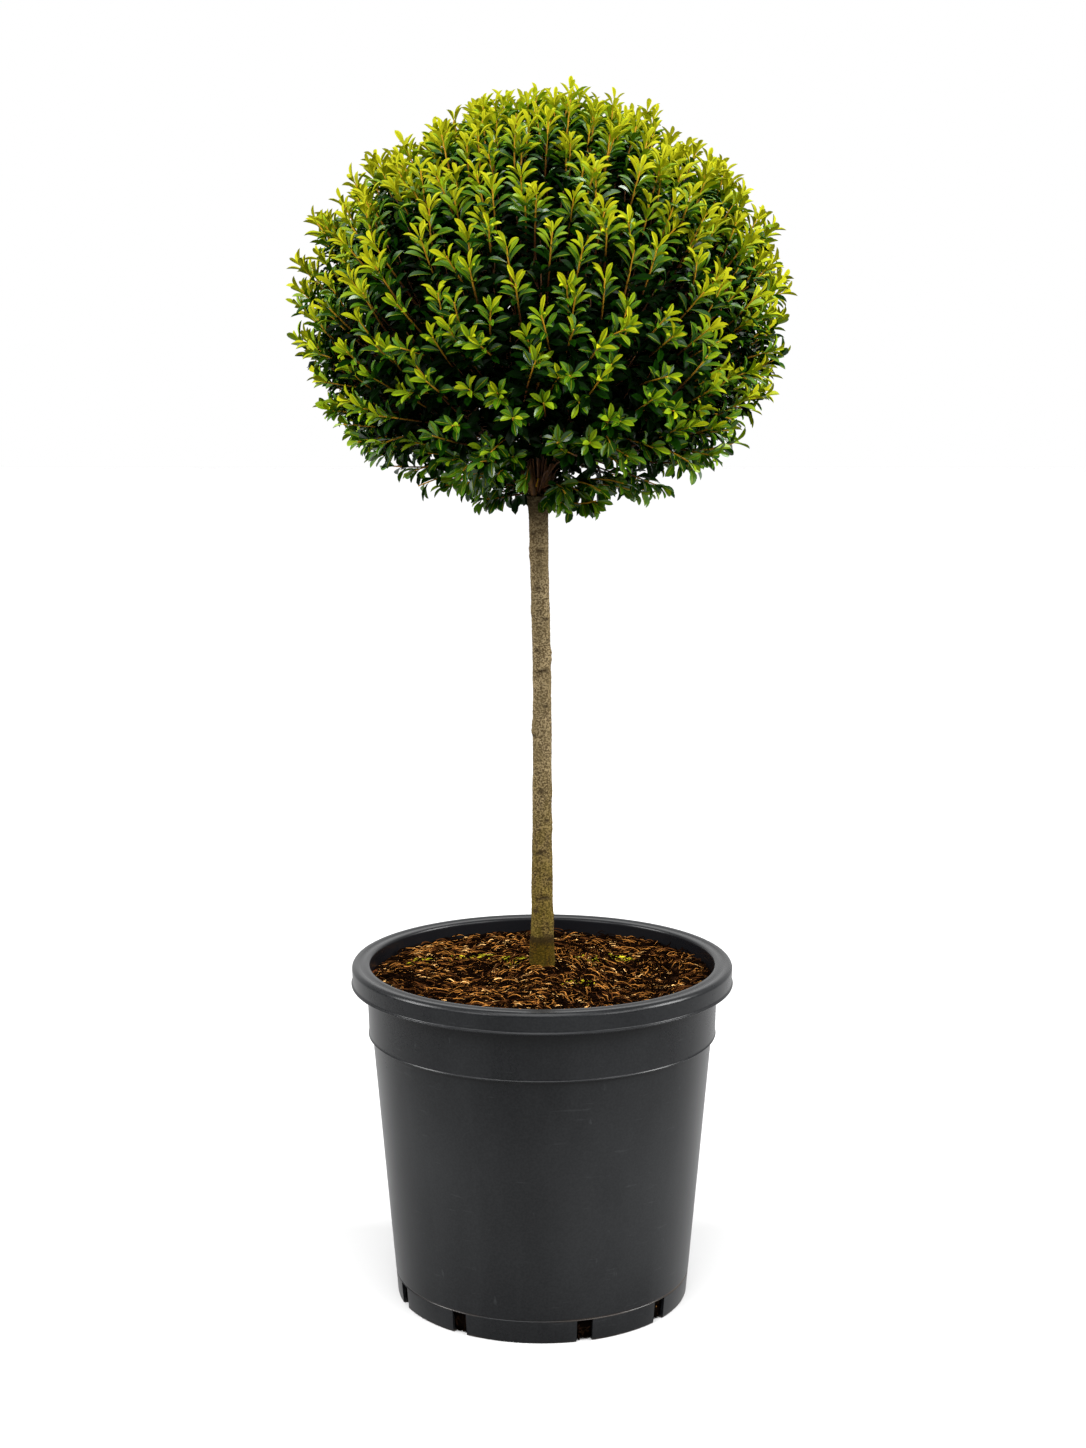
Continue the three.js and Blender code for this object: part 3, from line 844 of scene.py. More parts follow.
def shoots(rng, count, depth, depth_scatter, length, scatter, lowest):
    """Roots, bends, tips and heights of shoots that stand at the ball's surface and turn up to the light.

    Towards the ball's foot only the lowest share of them grows, and near the trunk they start at the
    fork. A height is 0 at the ball's foot and 1 at its top.
    """
    direction = spread_out(count, rng, scatter)
    share = lerp(lowest, 1.0, smoothstep(-0.95, -0.5, direction[:, 2]))
    direction = direction[rng.random(count) < share]
    count = len(direction)
    tip = on_ball(direction, depth + depth_scatter * rng.random(count))
    height = (tip[:, 2] - BALL_CENTRE + BALL_HALF_HEIGHT) / (2 * BALL_HALF_HEIGHT)
    pull = UPWARD_PULL * smoothstep(PULL_START, PULL_START + PULL_SPAN, height)
    away = unit(tip - UP * HEART)
    aim = unit(away + rng.normal(0, 0.2, tip.shape) + UP * pull[:, None])
    length = length * rng.uniform(0.8, 1.2, (count, 1))
    root = tip - length * (0.72 * aim + 0.32 * away)
    low = (direction[:, 2] < -0.6) & (np.hypot(tip[:, 0], tip[:, 1]) < FORK_REACH)
    side = unit(tip * (1, 1, 0) + rng.normal(0, 0.004, tip.shape) * (1, 1, 0))
    root[low] = (trunk_centre(np.array(FORK)) + side * 0.006 + UP * 0.004)[low]
    aim[low] = unit(side + UP * rng.normal(-0.25, 0.2, (count, 1)))[low]
    length[low] = np.linalg.norm(tip - root, axis=1)[low, None]
    return root, tip - 0.5 * length * aim, tip, height


class Growth:
    """All limbs and leaves of the ball, worked out once from the settings."""

    def __init__(self, seed, outer, inner, leaf_length, leaf_width):
        self.rng = np.random.default_rng(seed)
        self.leaf = np.array((leaf_length, leaf_width, leaf_length))
        self.boughs, self.bough_radii = self.grow_boughs()
        self.branches = self.grow_branches()
        counts = (outer, inner, 3 * inner // 4)
        grown = [shoots(self.rng, count, *rule) for count, rule in zip(counts, SHOOTS)]
        outer, inner, deep = [self.thinned(group, *rule) for group, rule in zip(grown, THINNING)]
        self.outer = bezier(*outer[:3], 7)
        self.inner = np.concatenate([bezier(*inner[:3], 5), bezier(*deep[:3], 5)])
        self.links = np.concatenate([self.link(self.outer), self.link(self.inner)])
        lit = self.put_leaves(self.outer, outer[3], 24, 0.0, 0.14)
        # The shaded leaves are given darker tints: painted shade inside the ball
        shaded = self.put_leaves(self.inner, np.concatenate([inner[3], deep[3]]), 11, -4.2, 0.2)
        self.leaves = [np.concatenate(part) for part in zip(lit, shaded)]

    def thinned(self, group, lowest, foot, full):
        """The shoots of a group that grow: all above the full height, fewer towards the foot."""
        height = group[3]
        grow = self.rng.random(len(height)) < lerp(lowest, 1.0, smoothstep(foot, full, height))
        return [part[grow] for part in group]

    def grow_boughs(self):
        """The leader and the boughs: as in the solid up to their sockets, then on to the shell."""
        azimuth = 2 * math.pi * (np.arange(BOUGHS) + 0.3) / BOUGHS
        out = np.stack([np.cos(azimuth), np.sin(azimuth), 0 * azimuth], 1)
        out = np.concatenate([out[:1] * 0, out])
        foot = trunk_centre(np.array(FORK)) + UP * 0.0002 + out * BOUGH_RING
        reach, rise = np.array(BOUGH_TIPS).T[..., None]
        end = np.concatenate([[LEADER_TIP], out[1:] * reach + UP * rise])
        paths = bezier(foot, foot + UP * BOUGH_UPRIGHT + out * 0.012, end, 28)
        t = np.linspace(0, 1, 28)
        wander = np.stack([np.sin(t * 9 + k) * np.sin(t * math.pi) for k in range(2 * BOUGHS + 2)])
        paths[:, :, 0] += BOUGH_WANDER * wander[: BOUGHS + 1]
        paths[:, :, 1] += BOUGH_WANDER * wander[BOUGHS + 1 :]
        thick = np.array([LEADER_RADIUS] + [BOUGH_RADIUS] * BOUGHS)[:, None]
        return paths, thick * (1 - 0.72 * t[None, :])

    def grow_branches(self):
        """Branches from the boughs out to the shell, each from the nearest stretch of bough."""
        direction = spread_out(BRANCHES, self.rng, 0.25)
        end = on_ball(direction, BRANCH_DEPTH + BRANCH_SCATTER * self.rng.random(BRANCHES))
        stems = self.boughs[:, 5:-1].reshape(-1, 3)
        along = (self.boughs[:, 6:] - self.boughs[:, 5:-1]).reshape(-1, 3)
        apart = end[:, None] - stems[None]
        climb = apart[:, :, 2] / np.linalg.norm(apart, axis=2)
        nearest = (np.linalg.norm(apart, axis=2) * (1 + 0.8 * (climb < 0.2))).argmin(1)
        start = stems[nearest]
        reach = np.linalg.norm(end - start, axis=1)[:, None]
        return bezier(start, start + unit(along[nearest]) * 0.45 * reach, end, 12)

    def link(self, paths):
        """The twig that carries each shoot, from the nearest branch to the shoot's root."""
        stems = np.concatenate([self.branches[:, 4:].reshape(-1, 3), self.boughs[:, 8:].reshape(-1, 3)])
        root = paths[:, 0]
        start = stems[np.linalg.norm(root[:, None] - stems[None], axis=2).argmin(1)]
        reach = np.linalg.norm(root - start, axis=1)[:, None]
        back = unit(paths[:, 1] - root)
        return bezier(start, root - back * 0.5 * reach, root, 5)[reach[:, 0] < LONGEST_LINK]

    def put_leaves(self, paths, height, most, inner_shade, lowest):
        """Leaves along each shoot, a fixed turn apart, closing up into a tuft at the tip."""
        rng = self.rng
        count, steps = paths.shape[:2]
        grid = (count, most)
        share = np.arange(most) / (most - 1)
        low = smoothstep(0.50, 0.10, height)[:, None]
        # Where each leaf stands on its shoot
        place = lowest + (1 - lowest) * share**0.80
        at = np.clip(place + rng.normal(0, 0.012, grid), 0, 0.999) * (steps - 1)
        before = at.astype(int)
        row = np.arange(count)[:, None]
        start, end = paths[row, before], paths[row, before + 1]
        foot = lerp(start, end, (at - before)[..., None])
        tangent = unit(end - start)
        # Which way it points: opened from the shoot, and hanging at the ball's foot
        sideways = unit(np.cross(tangent, unit(foot - UP * LEAF_HEART) + 0.001 * UP))
        turn = GOLDEN_ANGLE * np.arange(most) + 2 * math.pi * rng.random((count, 1))
        turn = (turn + rng.normal(0, 0.16, grid))[..., None]
        side = unit(np.cos(turn) * sideways + FLATNESS * np.sin(turn) * np.cross(tangent, sideways))
        opening = np.radians(lerp(*OPENING, share**1.6) + rng.normal(0, 7, grid))[..., None]
        blade = np.cos(opening) * tangent + np.sin(opening) * side
        hang = 1.3 * smoothstep(0.13, 0.02, height)[:, None, None] * rng.random((*grid, 1))
        blade = unit(blade - UP * hang + UP * 0.10 * (hang == 0))
        # Which way its face looks: outwards, up and a little rolled
        middle = UP * lerp(LEAF_HEART, LOW_LEAF_HEART, low)[..., None]
        facing = 0.5 * tangent + 0.8 * unit(foot - middle) + 0.3 * UP
        normal = unit(facing - blade * (facing * blade).sum(-1, keepdims=True))
        roll = rng.normal(0, 1, grid) * lerp(0.22, 0.9, smoothstep(0.25, 0.05, height)[:, None])
        roll = roll[..., None]
        normal = np.cos(roll) * normal + np.sin(roll) * np.cross(normal, blade)
        # Its size: smaller towards the tip, and broader at the ball's foot
        grown = lerp(1.0, 0.80, share**3.0) * lerp(0.98, 0.94, low) * rng.normal(1, 0.09, grid)
        size = grown[..., None] * self.leaf
        size[..., 1] *= rng.normal(1, 0.1, grid) * lerp(1.0, 1.38, low) * lerp(1.06, 0.80, share**2)
        end = foot + blade * size[..., :1]
        young = self.tints(paths[:, -1, 0], height, share, inner_shade)
        full = lerp(0.96, 0.72, smoothstep(0.28, 0.04, height))[:, None]
        keep = has_room(foot, end) & (rng.random(grid) < full)
        return foot[keep], blade[keep], normal[keep], size[keep], young[keep]

    def tints(self, x, height, share, inner_shade):
        """How young and how lit each leaf looks, as a number in LEAF_TINTS: younger at the tips, with
        painted light and shade by where the leaf stands in the ball.
        """
        rng = self.rng
        grid = (len(x), len(share))
        # Painted light by side and height: lighter on the flanks, more so on the right and the upper left,
        # and less at the very top
        painted_light = lerp(-0.35, 0.45, smoothstep(0.04, 0.19, np.abs(x))) - 0.85 * smoothstep(0.80, 1.0, height)
        painted_light = painted_light + 0.35 * smoothstep(0.05, 0.18, x)
        painted_light = painted_light + 0.5 * smoothstep(-0.02, -0.12, x) * smoothstep(0.60, 0.80, height)
        # Younger and lighter higher up: partly growth, and partly painted light from above with painted
        # shade low down
        growth_and_light_by_height = lerp(-2.0, 1.0 + 0.15 * inner_shade, smoothstep(0.12, 0.90, height))
        young = lerp(-0.8, 6.4, share**1.4) + growth_and_light_by_height[:, None] + painted_light[:, None] + inner_shade
        young = young + rng.normal(0, 0.42, (len(x), 1)) + rng.normal(0, 0.32, grid)
        # Painted light at the ball's foot: its leaves are held to middle greens, neither dark nor yellow
        painted_foot_light = lerp(1.7, 3.2, share) + rng.normal(0, 0.4, grid)
        return lerp(young, painted_foot_light, 0.85 * smoothstep(0.30, 0.08, height)[:, None])


def has_room(foot, end):
    """Which leaves stay clear of the trunk and of the gap over the fork, and end near the outline."""
    clear = np.hypot(end[..., 0] - LEAN, end[..., 1]) > TRUNK_ROOM
    clear |= end[..., 2] > FORK + TRUNK_ROOM_TOP
    for spot in (foot, end, (foot + end) / 2):
        level = spot[..., 2] + SIGHT_SLOPE * spot[..., 1] - FORK - FORK_GAP_MIDDLE
        ahead = (spot[..., 1] < 0) & (np.abs(spot[..., 0] - LEAN) < FORK_GAP_WIDTH)
        clear &= ~(ahead & (np.abs(level) < FORK_GAP_HEIGHT))
    return clear & (share_of_ball(end) < LEAF_LIMIT)


grown_once = functools.cache(Growth)


def growth(context):
    """The growth for the present settings, which the limbs and the leaves share."""
    s = context.scene.ball_foliage
    return grown_once(s.seed, s.shoots, s.inner_shoots, s.leaf_length, s.leaf_width)


@functools.cache
def limb_tree():
    """Turns lines with a radius at each point into closed tapering limbs."""
    inputs = {"Lines": "Geometry", "Sides": 6, "Material": "Material"}
    t = Group("Limbs along lines", "GeometryNodeTree", inputs, {"Limbs": "Geometry"})
    radius = t.stored("radius")
    curve = t.add("GeometryNodeMeshToCurve", {"Mesh": t.input("Lines")})
    sized = t.add("GeometryNodeSetCurveRadius", {"Curve": curve, "Radius": radius})
    ring = t.add("GeometryNodeCurvePrimitiveCircle", {"Resolution": t.input("Sides"), "Radius": 1.0})
    parts = {"Curve": sized, "Profile Curve": ring, "Scale": radius, "Fill Caps": True}
    return t.dressed(t.add("GeometryNodeCurveToMesh", parts))


def make_limbs(name, groups, sides, material):
    """Limbs along groups of paths, each group with its radii. They are new at their tips."""
    vertices, radii, newness, edges = [], [], [], []
    for paths, radius in groups:
        count, steps = paths.shape[:2]
        first = sum(len(v) for v in vertices)
        starts = (np.arange(count)[:, None] * steps + np.arange(steps - 1)).ravel() + first
        edges += [(int(a), int(a) + 1) for a in starts]
        vertices.append(paths.reshape(-1, 3))
        radii.append(np.broadcast_to(radius, (count, steps)).ravel())
        newness.append(np.broadcast_to(np.linspace(0, 1, steps), (count, steps)).ravel())
    piece = mesh_object(name, np.concatenate(vertices), edges=edges)
    set_attribute(piece.data, "radius", np.concatenate(radii))
    set_attribute(piece.data, "newness", np.concatenate(newness))
    settle(modify(piece, limb_tree(), Sides=sides, Material=material))
    smooth_faces(piece.data)
    return piece


def tapered(paths, foot, tip):
    return paths, np.linspace(foot, tip, paths.shape[1])[None]


@functools.cache
def leaf_tree():
    """Puts a leaf on each point. The blade is widest past its middle, folded and bent back."""
    inputs = {
        "Points": "Geometry", "Rows": 7, "Columns": 3, "Width": 1.0, "Lift": 0.0, "Widest": 2.0,
        "Fold": 0.26, "Droop": 0.24, "Material": "Material",
    }
    t = Group("Leaves on points", "GeometryNodeTree", inputs, {"Leaves": "Geometry"})
    points = {"Vertices X": t.input("Rows"), "Vertices Y": t.input("Columns")}
    grid = t.add("GeometryNodeMeshGrid", {"Size X": 1.0, "Size Y": 1.0, **points})
    place = t.split(t.add("GeometryNodeInputPosition"))
    back = t.math("MAXIMUM", t.math("SUBTRACT", 0.5, place["X"]), 0.0)
    along = t.math("SUBTRACT", 1.0, t.math("POWER", back, 1.4))
    wave = t.math("SINE", t.math("MULTIPLY", t.math("POWER", along, t.input("Widest")), math.pi))
    half = t.math("POWER", t.math("MAXIMUM", wave, 0.0), 0.65)
    across = t.math("MULTIPLY", t.math("MULTIPLY", place["Y"], half), t.input("Width"))
    fold = t.math("MULTIPLY_ADD", t.math("ABSOLUTE", across), t.input("Fold"), t.input("Lift"))
    sag = t.math("MULTIPLY", t.math("POWER", along, 2.0), t.input("Droop"))
    blade = t.join(along, across, t.math("SUBTRACT", fold, sag))
    shaped = t.add("GeometryNodeSetPosition", {"Geometry": grid, "Position": blade})
    closed = t.add("GeometryNodeMergeByDistance", {"Geometry": shaped, "Distance": 0.001})
    smooth = t.add("GeometryNodeSetShadeSmooth", {"Geometry": closed, "Shade Smooth": True})
    rib = t.math("LESS_THAN", t.math("ABSOLUTE", place["Y"]), 0.01)
    flat = {"Geometry": smooth, "Selection": rib, "Shade Smooth": False}
    leaf = t.add("GeometryNodeSetShadeSmooth", flat, domain="EDGE")
    turn, size = t.stored("turn", "FLOAT_VECTOR"), t.stored("size", "FLOAT_VECTOR")
    placed = {"Points": t.input("Points"), "Instance": leaf, "Rotation": turn, "Scale": size}
    return t.dressed(t.add("GeometryNodeInstanceOnPoints", placed))


def make_leaves(name, leaves, material, **shape):
    """A leaf at each foot, turned to its blade and its normal."""
    foot, blade, normal, size = leaves
    across = np.cross(normal, blade)
    angles = (
        np.arctan2(across[:, 2], normal[:, 2]),
        np.arcsin(np.clip(-blade[:, 2], -1, 1)),
        np.arctan2(blade[:, 1], blade[:, 0]),
    )
    piece = mesh_object(name, foot)
    set_attribute(piece.data, "turn", np.stack(angles, 1))
    set_attribute(piece.data, "size", size)
    return settle(modify(piece, leaf_tree(), Material=material, **shape))


@functools.cache
def chip_tree():
    """Scatters flat, slightly cupped chips over the top of the mix."""
    inputs = {
        "Mix": "Geometry", "Count": 1000, "Length": 0.006, "Thinness": 0.4, "Tilt": 0.5, "Seed": 1,
        "Material": "Material",
    }
    t = Group("Chips on mix", "GeometryNodeTree", inputs, {"Chips": "Geometry"})
    seed, tilt = t.input("Seed"), t.input("Tilt")

    def dealt(low, high, seed):
        values = {"Min": low, "Max": high, "Seed": seed}
        return t.add("FunctionNodeRandomValue", values, data_type="FLOAT_VECTOR").outputs[0]

    place = t.add("GeometryNodeInputPosition")
    top = t.math("GREATER_THAN", t.split(t.add("GeometryNodeInputNormal"))["Z"], 0.3)
    above = t.math("GREATER_THAN", t.split(place)["Z"], MIX_EDGE - 0.004)
    density = t.math("DIVIDE", t.input("Count"), math.pi * MIX_RADIUS**2)
    face = {"Mesh": t.input("Mix"), "Selection": t.math("MULTIPLY", top, above), "Density": density}
    spots = t.add("GeometryNodeDistributePointsOnFaces", {**face, "Seed": seed})
    chip = t.add("GeometryNodeMeshCube", {"Size": (1.0, 1.0, 1.0), "Vertices X": 4, "Vertices Y": 2})
    ragged = t.add("ShaderNodeTexNoise", {"Vector": place, "Scale": 1.7, "Detail": 1.0})
    push = t.vector("MULTIPLY_ADD", ragged.outputs["Color"], (0.7, 0.5, 0.5), (-0.35, -0.25, -0.25))
    rough = t.add("GeometryNodeSetPosition", {"Geometry": chip, "Offset": push})
    turn = t.vector("MULTIPLY", dealt((-1.0, -1.0, 0.0), (1.0, 1.0, 6.283), seed), t.join(tilt, tilt, 1.0))
    shape = dealt((0.45, 0.5, 0.06), (1.5, 1.3, 0.2), t.math("ADD", seed, 5.0))
    shape = t.vector("MULTIPLY", shape, t.join(1.0, t.input("Thinness"), 1.0))
    size = t.add("ShaderNodeVectorMath", {0: shape, "Scale": t.input("Length")}, operation="SCALE")
    placed = {"Points": spots, "Instance": rough, "Rotation": turn, "Scale": size}
    return t.dressed(t.add("GeometryNodeInstanceOnPoints", placed))


def make_chips(name, bed, **inputs):
    chips = bpy.data.objects.new(name, bed.data.copy())
    bpy.context.scene.collection.objects.link(chips)
    chips.data.materials.clear()
    return settle(modify(chips, chip_tree(), **inputs))


def scattered(rng, count):
    """Points spread evenly over the ring that fibres lie on."""
    inner, outer = FIBRE_RING
    radius = np.sqrt(rng.uniform(inner**2, outer**2, count))
    angle = rng.random(count) * 2 * math.pi
    return np.stack([radius * np.cos(angle), radius * np.sin(angle)], 1)


def make_fibres(name, spots, rng, lengths, thickness, material):
    """Loose curled fibres that lie on the mix, one at each spot."""
    steps = 7
    each = (len(spots), 1)
    t = np.linspace(-0.5, 0.5, steps)
    length = rng.uniform(*lengths, each)
    flow = np.array([[2.4 * noise.noise(Vector((x, y, 0.7)) * 13)] for x, y in spots])
    heading = flow + rng.normal(0, 0.45, each) + rng.normal(0, 0.9, each) * t
    heading = heading + rng.normal(0, 0.45, each) * np.sin(t * 11 + rng.random(each) * 6)
    step = length / (steps - 1)
    x = spots[:, :1] + np.cumsum(np.cos(heading) * step, 1) - 0.5 * length * np.cos(heading[:, :1])
    y = spots[:, 1:] + np.cumsum(np.sin(heading) * step, 1) - 0.5 * length * np.sin(heading[:, :1])
    limit = FIBRE_EDGE / np.maximum(np.hypot(x, y), FIBRE_EDGE)
    x, y = x * limit, y * limit
    z = np.array([[mix_height(a, b) for a, b in zip(*row)] for row in zip(x, y)])
    z = z + rng.uniform(0.0002, 0.0028, each)
    z = z + rng.uniform(-0.5, 1, each) * 0.22 * length * (0.25 - t**2) * 4
    z = z + rng.normal(0, 0.16, each) * length * t
    thick = rng.uniform(*thickness, each) * (1 - 2.6 * t**2)
    return make_limbs(name, [(np.stack([x, y, z], -1), thick)], 3, material)


def make_crumbs(name, rng, count, lengths, radius, material):
    """Crumbs of mix that show in each drainage notch."""
    out = outward(np.repeat(notch_angles(), count))
    across = np.cross(UP, out)
    each = (len(out), 1)
    middle = out * rng.uniform(*CRUMB_RADIUS, each)
    middle = middle + across * rng.uniform(-0.42, 0.42, each) * NOTCH_WIDTH
    middle = middle + UP * rng.uniform(*CRUMB_HEIGHT, each)
    way = unit(across * rng.normal(0, 1, each) + UP * rng.normal(0, 0.8, each))
    half = way * rng.uniform(*lengths, each) / 2
    paths = bezier(middle - half, middle + out * 0.001, middle + half, 4)
    paths[:, :, 2] = np.maximum(paths[:, :, 2], CRUMB_LOWEST)
    return make_limbs(name, [(paths, radius)], 5, material)


# Operators


class TOPIARY_OT_pot(bpy.types.Operator):
    """Makes the nursery pot with its rolled rim and drainage notches"""

    bl_idname = "topiary.pot"
    bl_label = "Nursery pot"

    def execute(self, context):
        pot = make_pot()
        pot.data.materials.append(plastic_material(context.scene.ball_pot))
        attach(pot, "pot_plastic", "pot")
        return {"FINISHED"}


class TOPIARY_OT_mix(bpy.types.Operator):
    """Makes the potting mix, with its chips and fibres"""

    bl_idname = "topiary.mix"
    bl_label = "Potting mix"

    def execute(self, context):
        settings = context.scene.ball_mix
        bed = make_mix()
        bed.data.materials.append(mix_material(settings))
        # Chips: share of all, length against the typical one, thinness, colours, seed
        for kind, share, length, thinness, tone, dark, seed in (
            ("brown", 0.10, 1.0, 0.42, settings.bark, settings.dark, 11),
            ("dark", 0.42, 1.2, 0.5, (0.012, 0.006, 0.003), (0.004, 0.002, 0.001), 12),
            ("tan", 0.05, 0.9, 0.35, (0.55, 0.25, 0.07), (0.22, 0.09, 0.03), 13),
            ("red", 0.04, 1.0, 0.4, (0.26, 0.075, 0.020), (0.08, 0.025, 0.010), 14),
        ):
            name = "mix_chips_" + kind
            material = wood_material(name, tone, dark, 0.85, 0.03, (260.0, 1.0, 0.35, 0.7), 0.0005)
            chips = make_chips(
                name, bed, Count=int(settings.chips * share), Length=settings.chip_length * length,
                Thinness=thinness, Tilt=0.55, Seed=seed, Material=material,
            )
            attach(chips, "potting_mix")
        rng = np.random.default_rng(31)
        # Fibres: share of all, lengths, thicknesses, colour
        for kind, share, lengths, thickness, tone in (
            ("dark", 0.56, (0.010, 0.026), (0.0005, 0.0009), (0.006, 0.0025, 0.0013)),
            ("brown", 0.17, (0.012, 0.028), (0.0003, 0.0006), (0.090, 0.032, 0.009)),
            ("orange", 0.20, (0.010, 0.024), (0.00025, 0.0005), (0.470, 0.190, 0.038)),
            ("tan", 0.07, (0.005, 0.014), (0.0003, 0.0008), (0.900, 0.520, 0.180)),
        ):
            name = "mix_fibres_" + kind
            material = wood_material(name, tone, tuple(0.4 * c for c in tone), 0.9, 0.0)
            spots = scattered(rng, int(settings.fibres * share))
            attach(make_fibres(name, spots, rng, lengths, thickness, material), "potting_mix")
        tufts = np.array(MOSS_TUFTS)
        spots = tufts[rng.integers(len(tufts), size=260)] + rng.normal(0, 1, (260, 2)) * (0.0085, 0.0045)
        moss = wood_material("moss", (0.58, 0.52, 0.02), (0.20, 0.20, 0.01), 0.8, 0.0)
        attach(make_fibres("moss", spots, rng, (0.004, 0.013), (0.0003, 0.0008), moss), "potting_mix")
        # Crumbs in the notches: how many in each, lengths, radius, colours
        for name, coat, count, lengths, radius, tone, dark in (
            ("notch_crumbs", "mix_crumbs", 40, (0.003, 0.008), 0.0011, (0.010, 0.005, 0.003),
             (0.003, 0.002, 0.001)),
            ("notch_specks", "mix_specks", 3, (0.001, 0.003), 0.0008, (0.420, 0.200, 0.060),
             (0.120, 0.060, 0.020)),
        ):
            material = wood_material(coat, tone, dark, 0.9, 0.0)
            attach(make_crumbs(name, rng, count, lengths, radius, material), "potting_mix")
        attach(bed, "potting_mix", "potting_mix")
        return {"FINISHED"}


class TOPIARY_OT_trunk(bpy.types.Operator):
    """Makes the trunk with its bark"""

    bl_idname = "topiary.trunk"
    bl_label = "Trunk"

    def execute(self, context):
        settings = context.scene.ball_trunk
        trunk = make_trunk(settings.relief)
        trunk.data.materials.append(bark_material(settings))
        attach(trunk, "bark", "trunk")
        return {"FINISHED"}


class TOPIARY_OT_limbs(bpy.types.Operator):
    """Makes the boughs, the branches inside the ball and the twigs that carry the leaves"""

    bl_idname = "topiary.limbs"
    bl_label = "Boughs and twigs"

    def execute(self, context):
        settings = context.scene.ball_trunk
        grown = growth(context)
        old = wood_material("bough_bark", settings.branch, (0.060, 0.027, 0.006), 0.7)
        brown = wood_material("branch_bark", (0.20, 0.085, 0.026), (0.085, 0.034, 0.014), 0.65)
        new = shoot_material((0.080, 0.026, 0.006), settings.twig)
        nodes = ["leader"] + [f"bough_{i + 1}" for i in range(BOUGHS)]
        boughs = make_limbs("boughs", [(grown.boughs, grown.bough_radii)], 12, old)
        attach(boughs, "young_bark", *nodes)
        carriers = [tapered(grown.branches, 0.0016, 0.0009), tapered(grown.links, 0.0009, 0.0007)]
        for name, groups, sides, material in (
            ("branches", carriers, 4, brown),
            ("shaded_twigs", [tapered(grown.inner, 0.0008, 0.0005)], 4, brown),
            ("shoots", [tapered(grown.outer, 0.0009, 0.0006)], 5, new),
        ):
            attach(make_limbs(name, groups, sides, material), "young_bark")
        return {"FINISHED"}


class TOPIARY_OT_leaves(bpy.types.Operator):
    """Makes the leaves, one piece for each tint"""

    bl_idname = "topiary.leaves"
    bl_label = "Leaves"

    def execute(self, context):
        *leaves, young = growth(context).leaves
        tint = np.clip(np.round(young), 0, len(LEAF_TINTS) - 1).astype(int)
        for index, (name, tone, roughness, gloss, rows) in enumerate(LEAF_TINTS):
            chosen = [part[tint == index] for part in leaves]
            material = leaf_material(name, tone, roughness, gloss)
            nodes = ["foliage_ball"] if index == 0 else []
            attach(make_leaves("leaves_" + name, chosen, material, Rows=rows), "foliage", *nodes)
        # Midribs on all but the shaded, the old and the tip leaves
        chosen = [part[(tint > 1) & (tint < 6)] for part in leaves]
        material = leaf_material("midrib", (0.180, 0.225, 0.008), 0.45, 0.05)
        shape = {"Rows": 4, "Columns": 2, "Width": 0.13, "Lift": 0.02}
        attach(make_leaves("leaf_midribs", chosen, material, **shape), "foliage")
        return {"FINISHED"}


def floor_material(colour):
    """Pale where it is seen, with painted shadow close to the pot, and dim in what it throws back."""
    m = Material("floor_paint", 0.9, 0.1)
    path = m.add("ShaderNodeLightPath").outputs
    # Painted shadow: the floor as seen is darker close to the pot
    near = m.blend(m.between(m.reach(m.place), 0.15, 1.5), tuple(0.80 * c for c in colour), colour)
    bounced = m.blend(path["Is Glossy Ray"], (0.12, 0.12, 0.12), (0.37, 0.37, 0.37))
    return m.done(m.blend(path["Is Camera Ray"], bounced, near))


def studio_world():
    """White behind the plant, and a softer grey all round to light it, brighter overhead."""
    world = bpy.data.worlds.new("studio")
    world.use_nodes = True
    world.node_tree.nodes.clear()
    t = Tree(world.node_tree)
    way = t.split(t.add("ShaderNodeTexCoord").outputs["Generated"])
    dome = t.between(way["Z"], -0.1, 1.0, (0.04, 0.75))
    behind = t.between(way["Y"], 0.15, 0.95, (0.0, 0.9), "LINEAR")
    backdrop = t.add("ShaderNodeBackground", {"Color": (1, 1, 1), "Strength": 1.0})
    surround = t.add("ShaderNodeBackground", {"Color": (1, 1, 1), "Strength": t.math("ADD", dome, behind)})
    seen = t.add("ShaderNodeLightPath").outputs["Is Camera Ray"]
    both = t.add("ShaderNodeMixShader", {0: seen, 1: surround, 2: backdrop})
    t.add("ShaderNodeOutputWorld", {"Surface": both})
    return world


def aim_lamp(scene, light, place):
    lamp = bpy.data.objects.new(light.name, light)
    lamp.location = place
    lamp.rotation_euler = (LAMP_AIM - Vector(place)).to_track_quat("-Z", "Y").to_euler()
    scene.collection.objects.link(lamp)


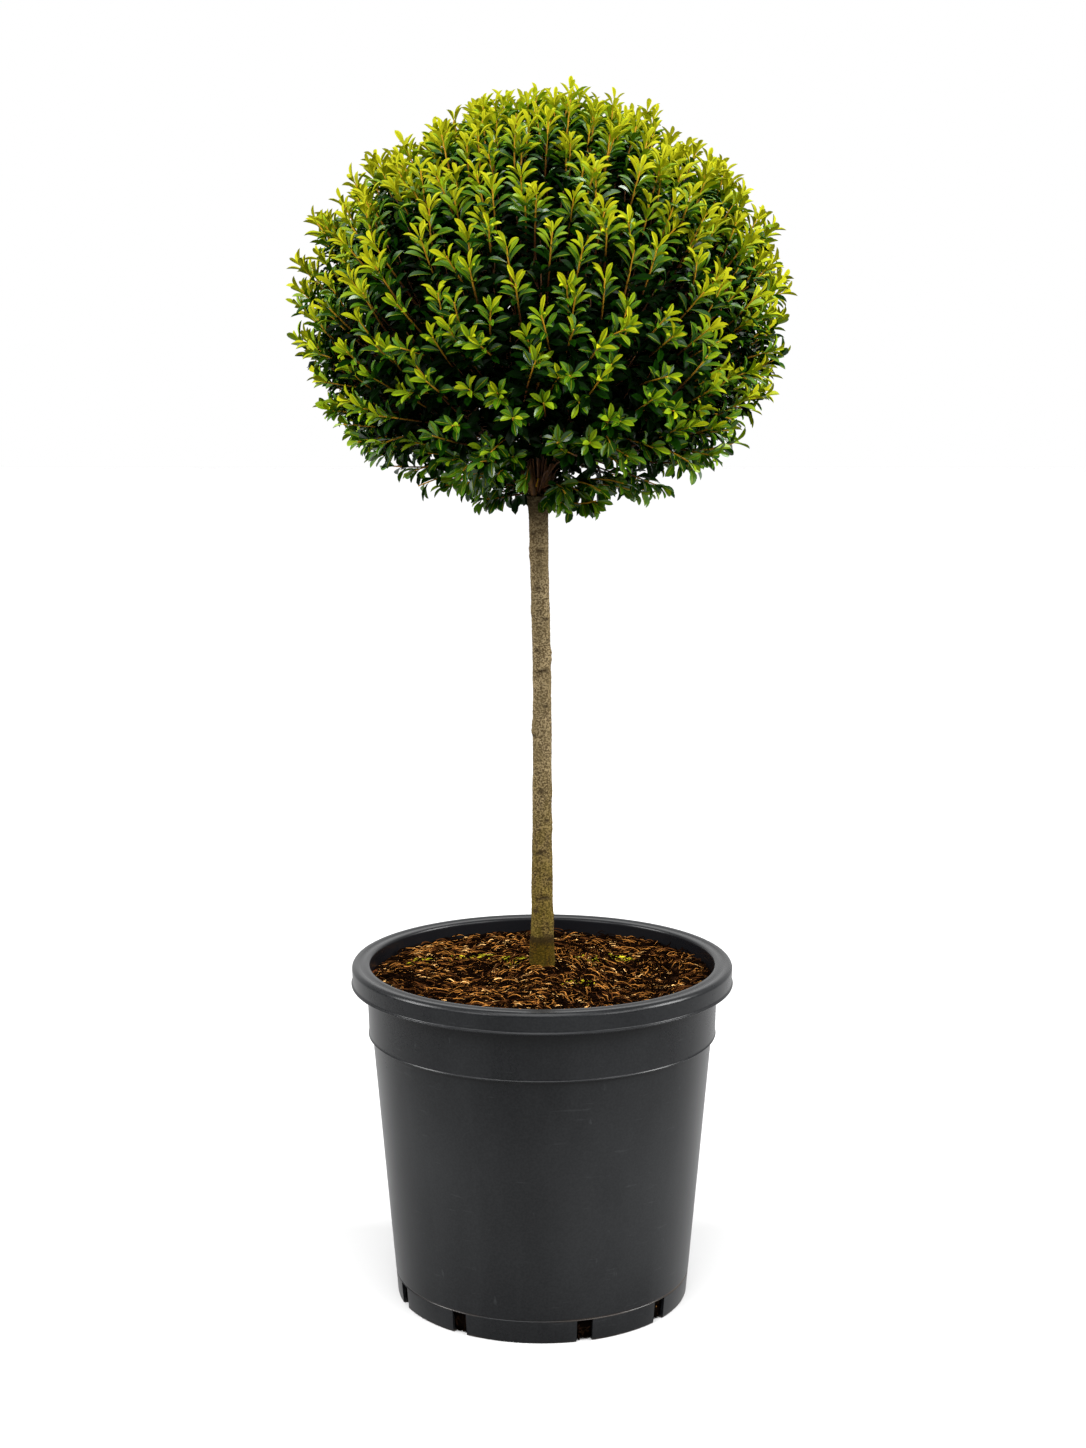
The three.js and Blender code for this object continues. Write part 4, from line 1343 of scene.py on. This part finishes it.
class TOPIARY_OT_stage(bpy.types.Operator):
    """Sets up the floor, the lights and the camera"""

    bl_idname = "topiary.stage"
    bl_label = "Stage"

    def execute(self, context):
        scene = context.scene
        settings = scene.ball_stage
        scene.world = studio_world()
        scene.view_settings.view_transform = "Standard"
        corners = [(x * FLOOR_HALF, y * FLOOR_HALF, 0) for x, y in ((-1, -1), (1, -1), (1, 1), (-1, 1))]
        floor = mesh_object("floor", corners, [(0, 1, 2, 3)])
        floor.data.materials.append(floor_material(settings.floor))
        sun = bpy.data.lights.new("overhead", "SUN")
        sun.energy, sun.angle = settings.overhead, OVERHEAD_SPREAD
        aim_lamp(scene, sun, OVERHEAD_PLACE)
        for name, place, size, power in LAMPS:
            light = bpy.data.lights.new(name, "AREA")
            light.size, light.energy = size, power
            aim_lamp(scene, light, place)
        camera = bpy.data.objects.new("camera", bpy.data.cameras.new("camera"))
        camera.data.lens, camera.data.sensor_width = settings.lens, SENSOR
        camera.location = (CAMERA_SIDE, -settings.distance, settings.height)
        camera.rotation_euler = (math.pi / 2 - settings.tilt, 0, 0)
        scene.collection.objects.link(camera)
        scene.camera = camera
        return {"FINISHED"}


class TOPIARY_PT_panel(bpy.types.Panel):
    """Lists the pieces in the sidebar"""

    bl_label = "Clipped ball standard"
    bl_space_type = "VIEW_3D"
    bl_region_type = "UI"
    bl_category = "Topiary"

    def draw(self, context):
        for operator, settings in STEPS:
            box = self.layout.box()
            box.operator(operator.bl_idname)
            if settings:
                group = getattr(context.scene, settings)
                for name in group.bl_rna.properties.keys():
                    if name not in ("rna_type", "name"):
                        box.prop(group, name)


SETTINGS = {
    "ball_pot": PotSettings,
    "ball_mix": MixSettings,
    "ball_trunk": TrunkSettings,
    "ball_foliage": FoliageSettings,
    "ball_stage": StageSettings,
}
STEPS = (
    (TOPIARY_OT_stage, "ball_stage"),
    (TOPIARY_OT_pot, "ball_pot"),
    (TOPIARY_OT_mix, "ball_mix"),
    (TOPIARY_OT_trunk, "ball_trunk"),
    (TOPIARY_OT_limbs, None),
    (TOPIARY_OT_leaves, "ball_foliage"),
)


def register():
    for name, group in SETTINGS.items():
        bpy.utils.register_class(group)
        setattr(bpy.types.Scene, name, PointerProperty(type=group))
    for operator, _ in STEPS:
        bpy.utils.register_class(operator)
    bpy.utils.register_class(TOPIARY_PT_panel)


def unregister():
    bpy.utils.unregister_class(TOPIARY_PT_panel)
    for operator, _ in reversed(STEPS):
        bpy.utils.unregister_class(operator)
    for name, group in reversed(SETTINGS.items()):
        delattr(bpy.types.Scene, name)
        bpy.utils.unregister_class(group)


def main():
    register()
    bpy.ops.topiary.stage()
    bpy.ops.topiary.pot()
    bpy.ops.topiary.mix()
    bpy.ops.topiary.trunk()
    bpy.ops.topiary.limbs()
    bpy.ops.topiary.leaves()


if __name__ == "__main__":
    main()
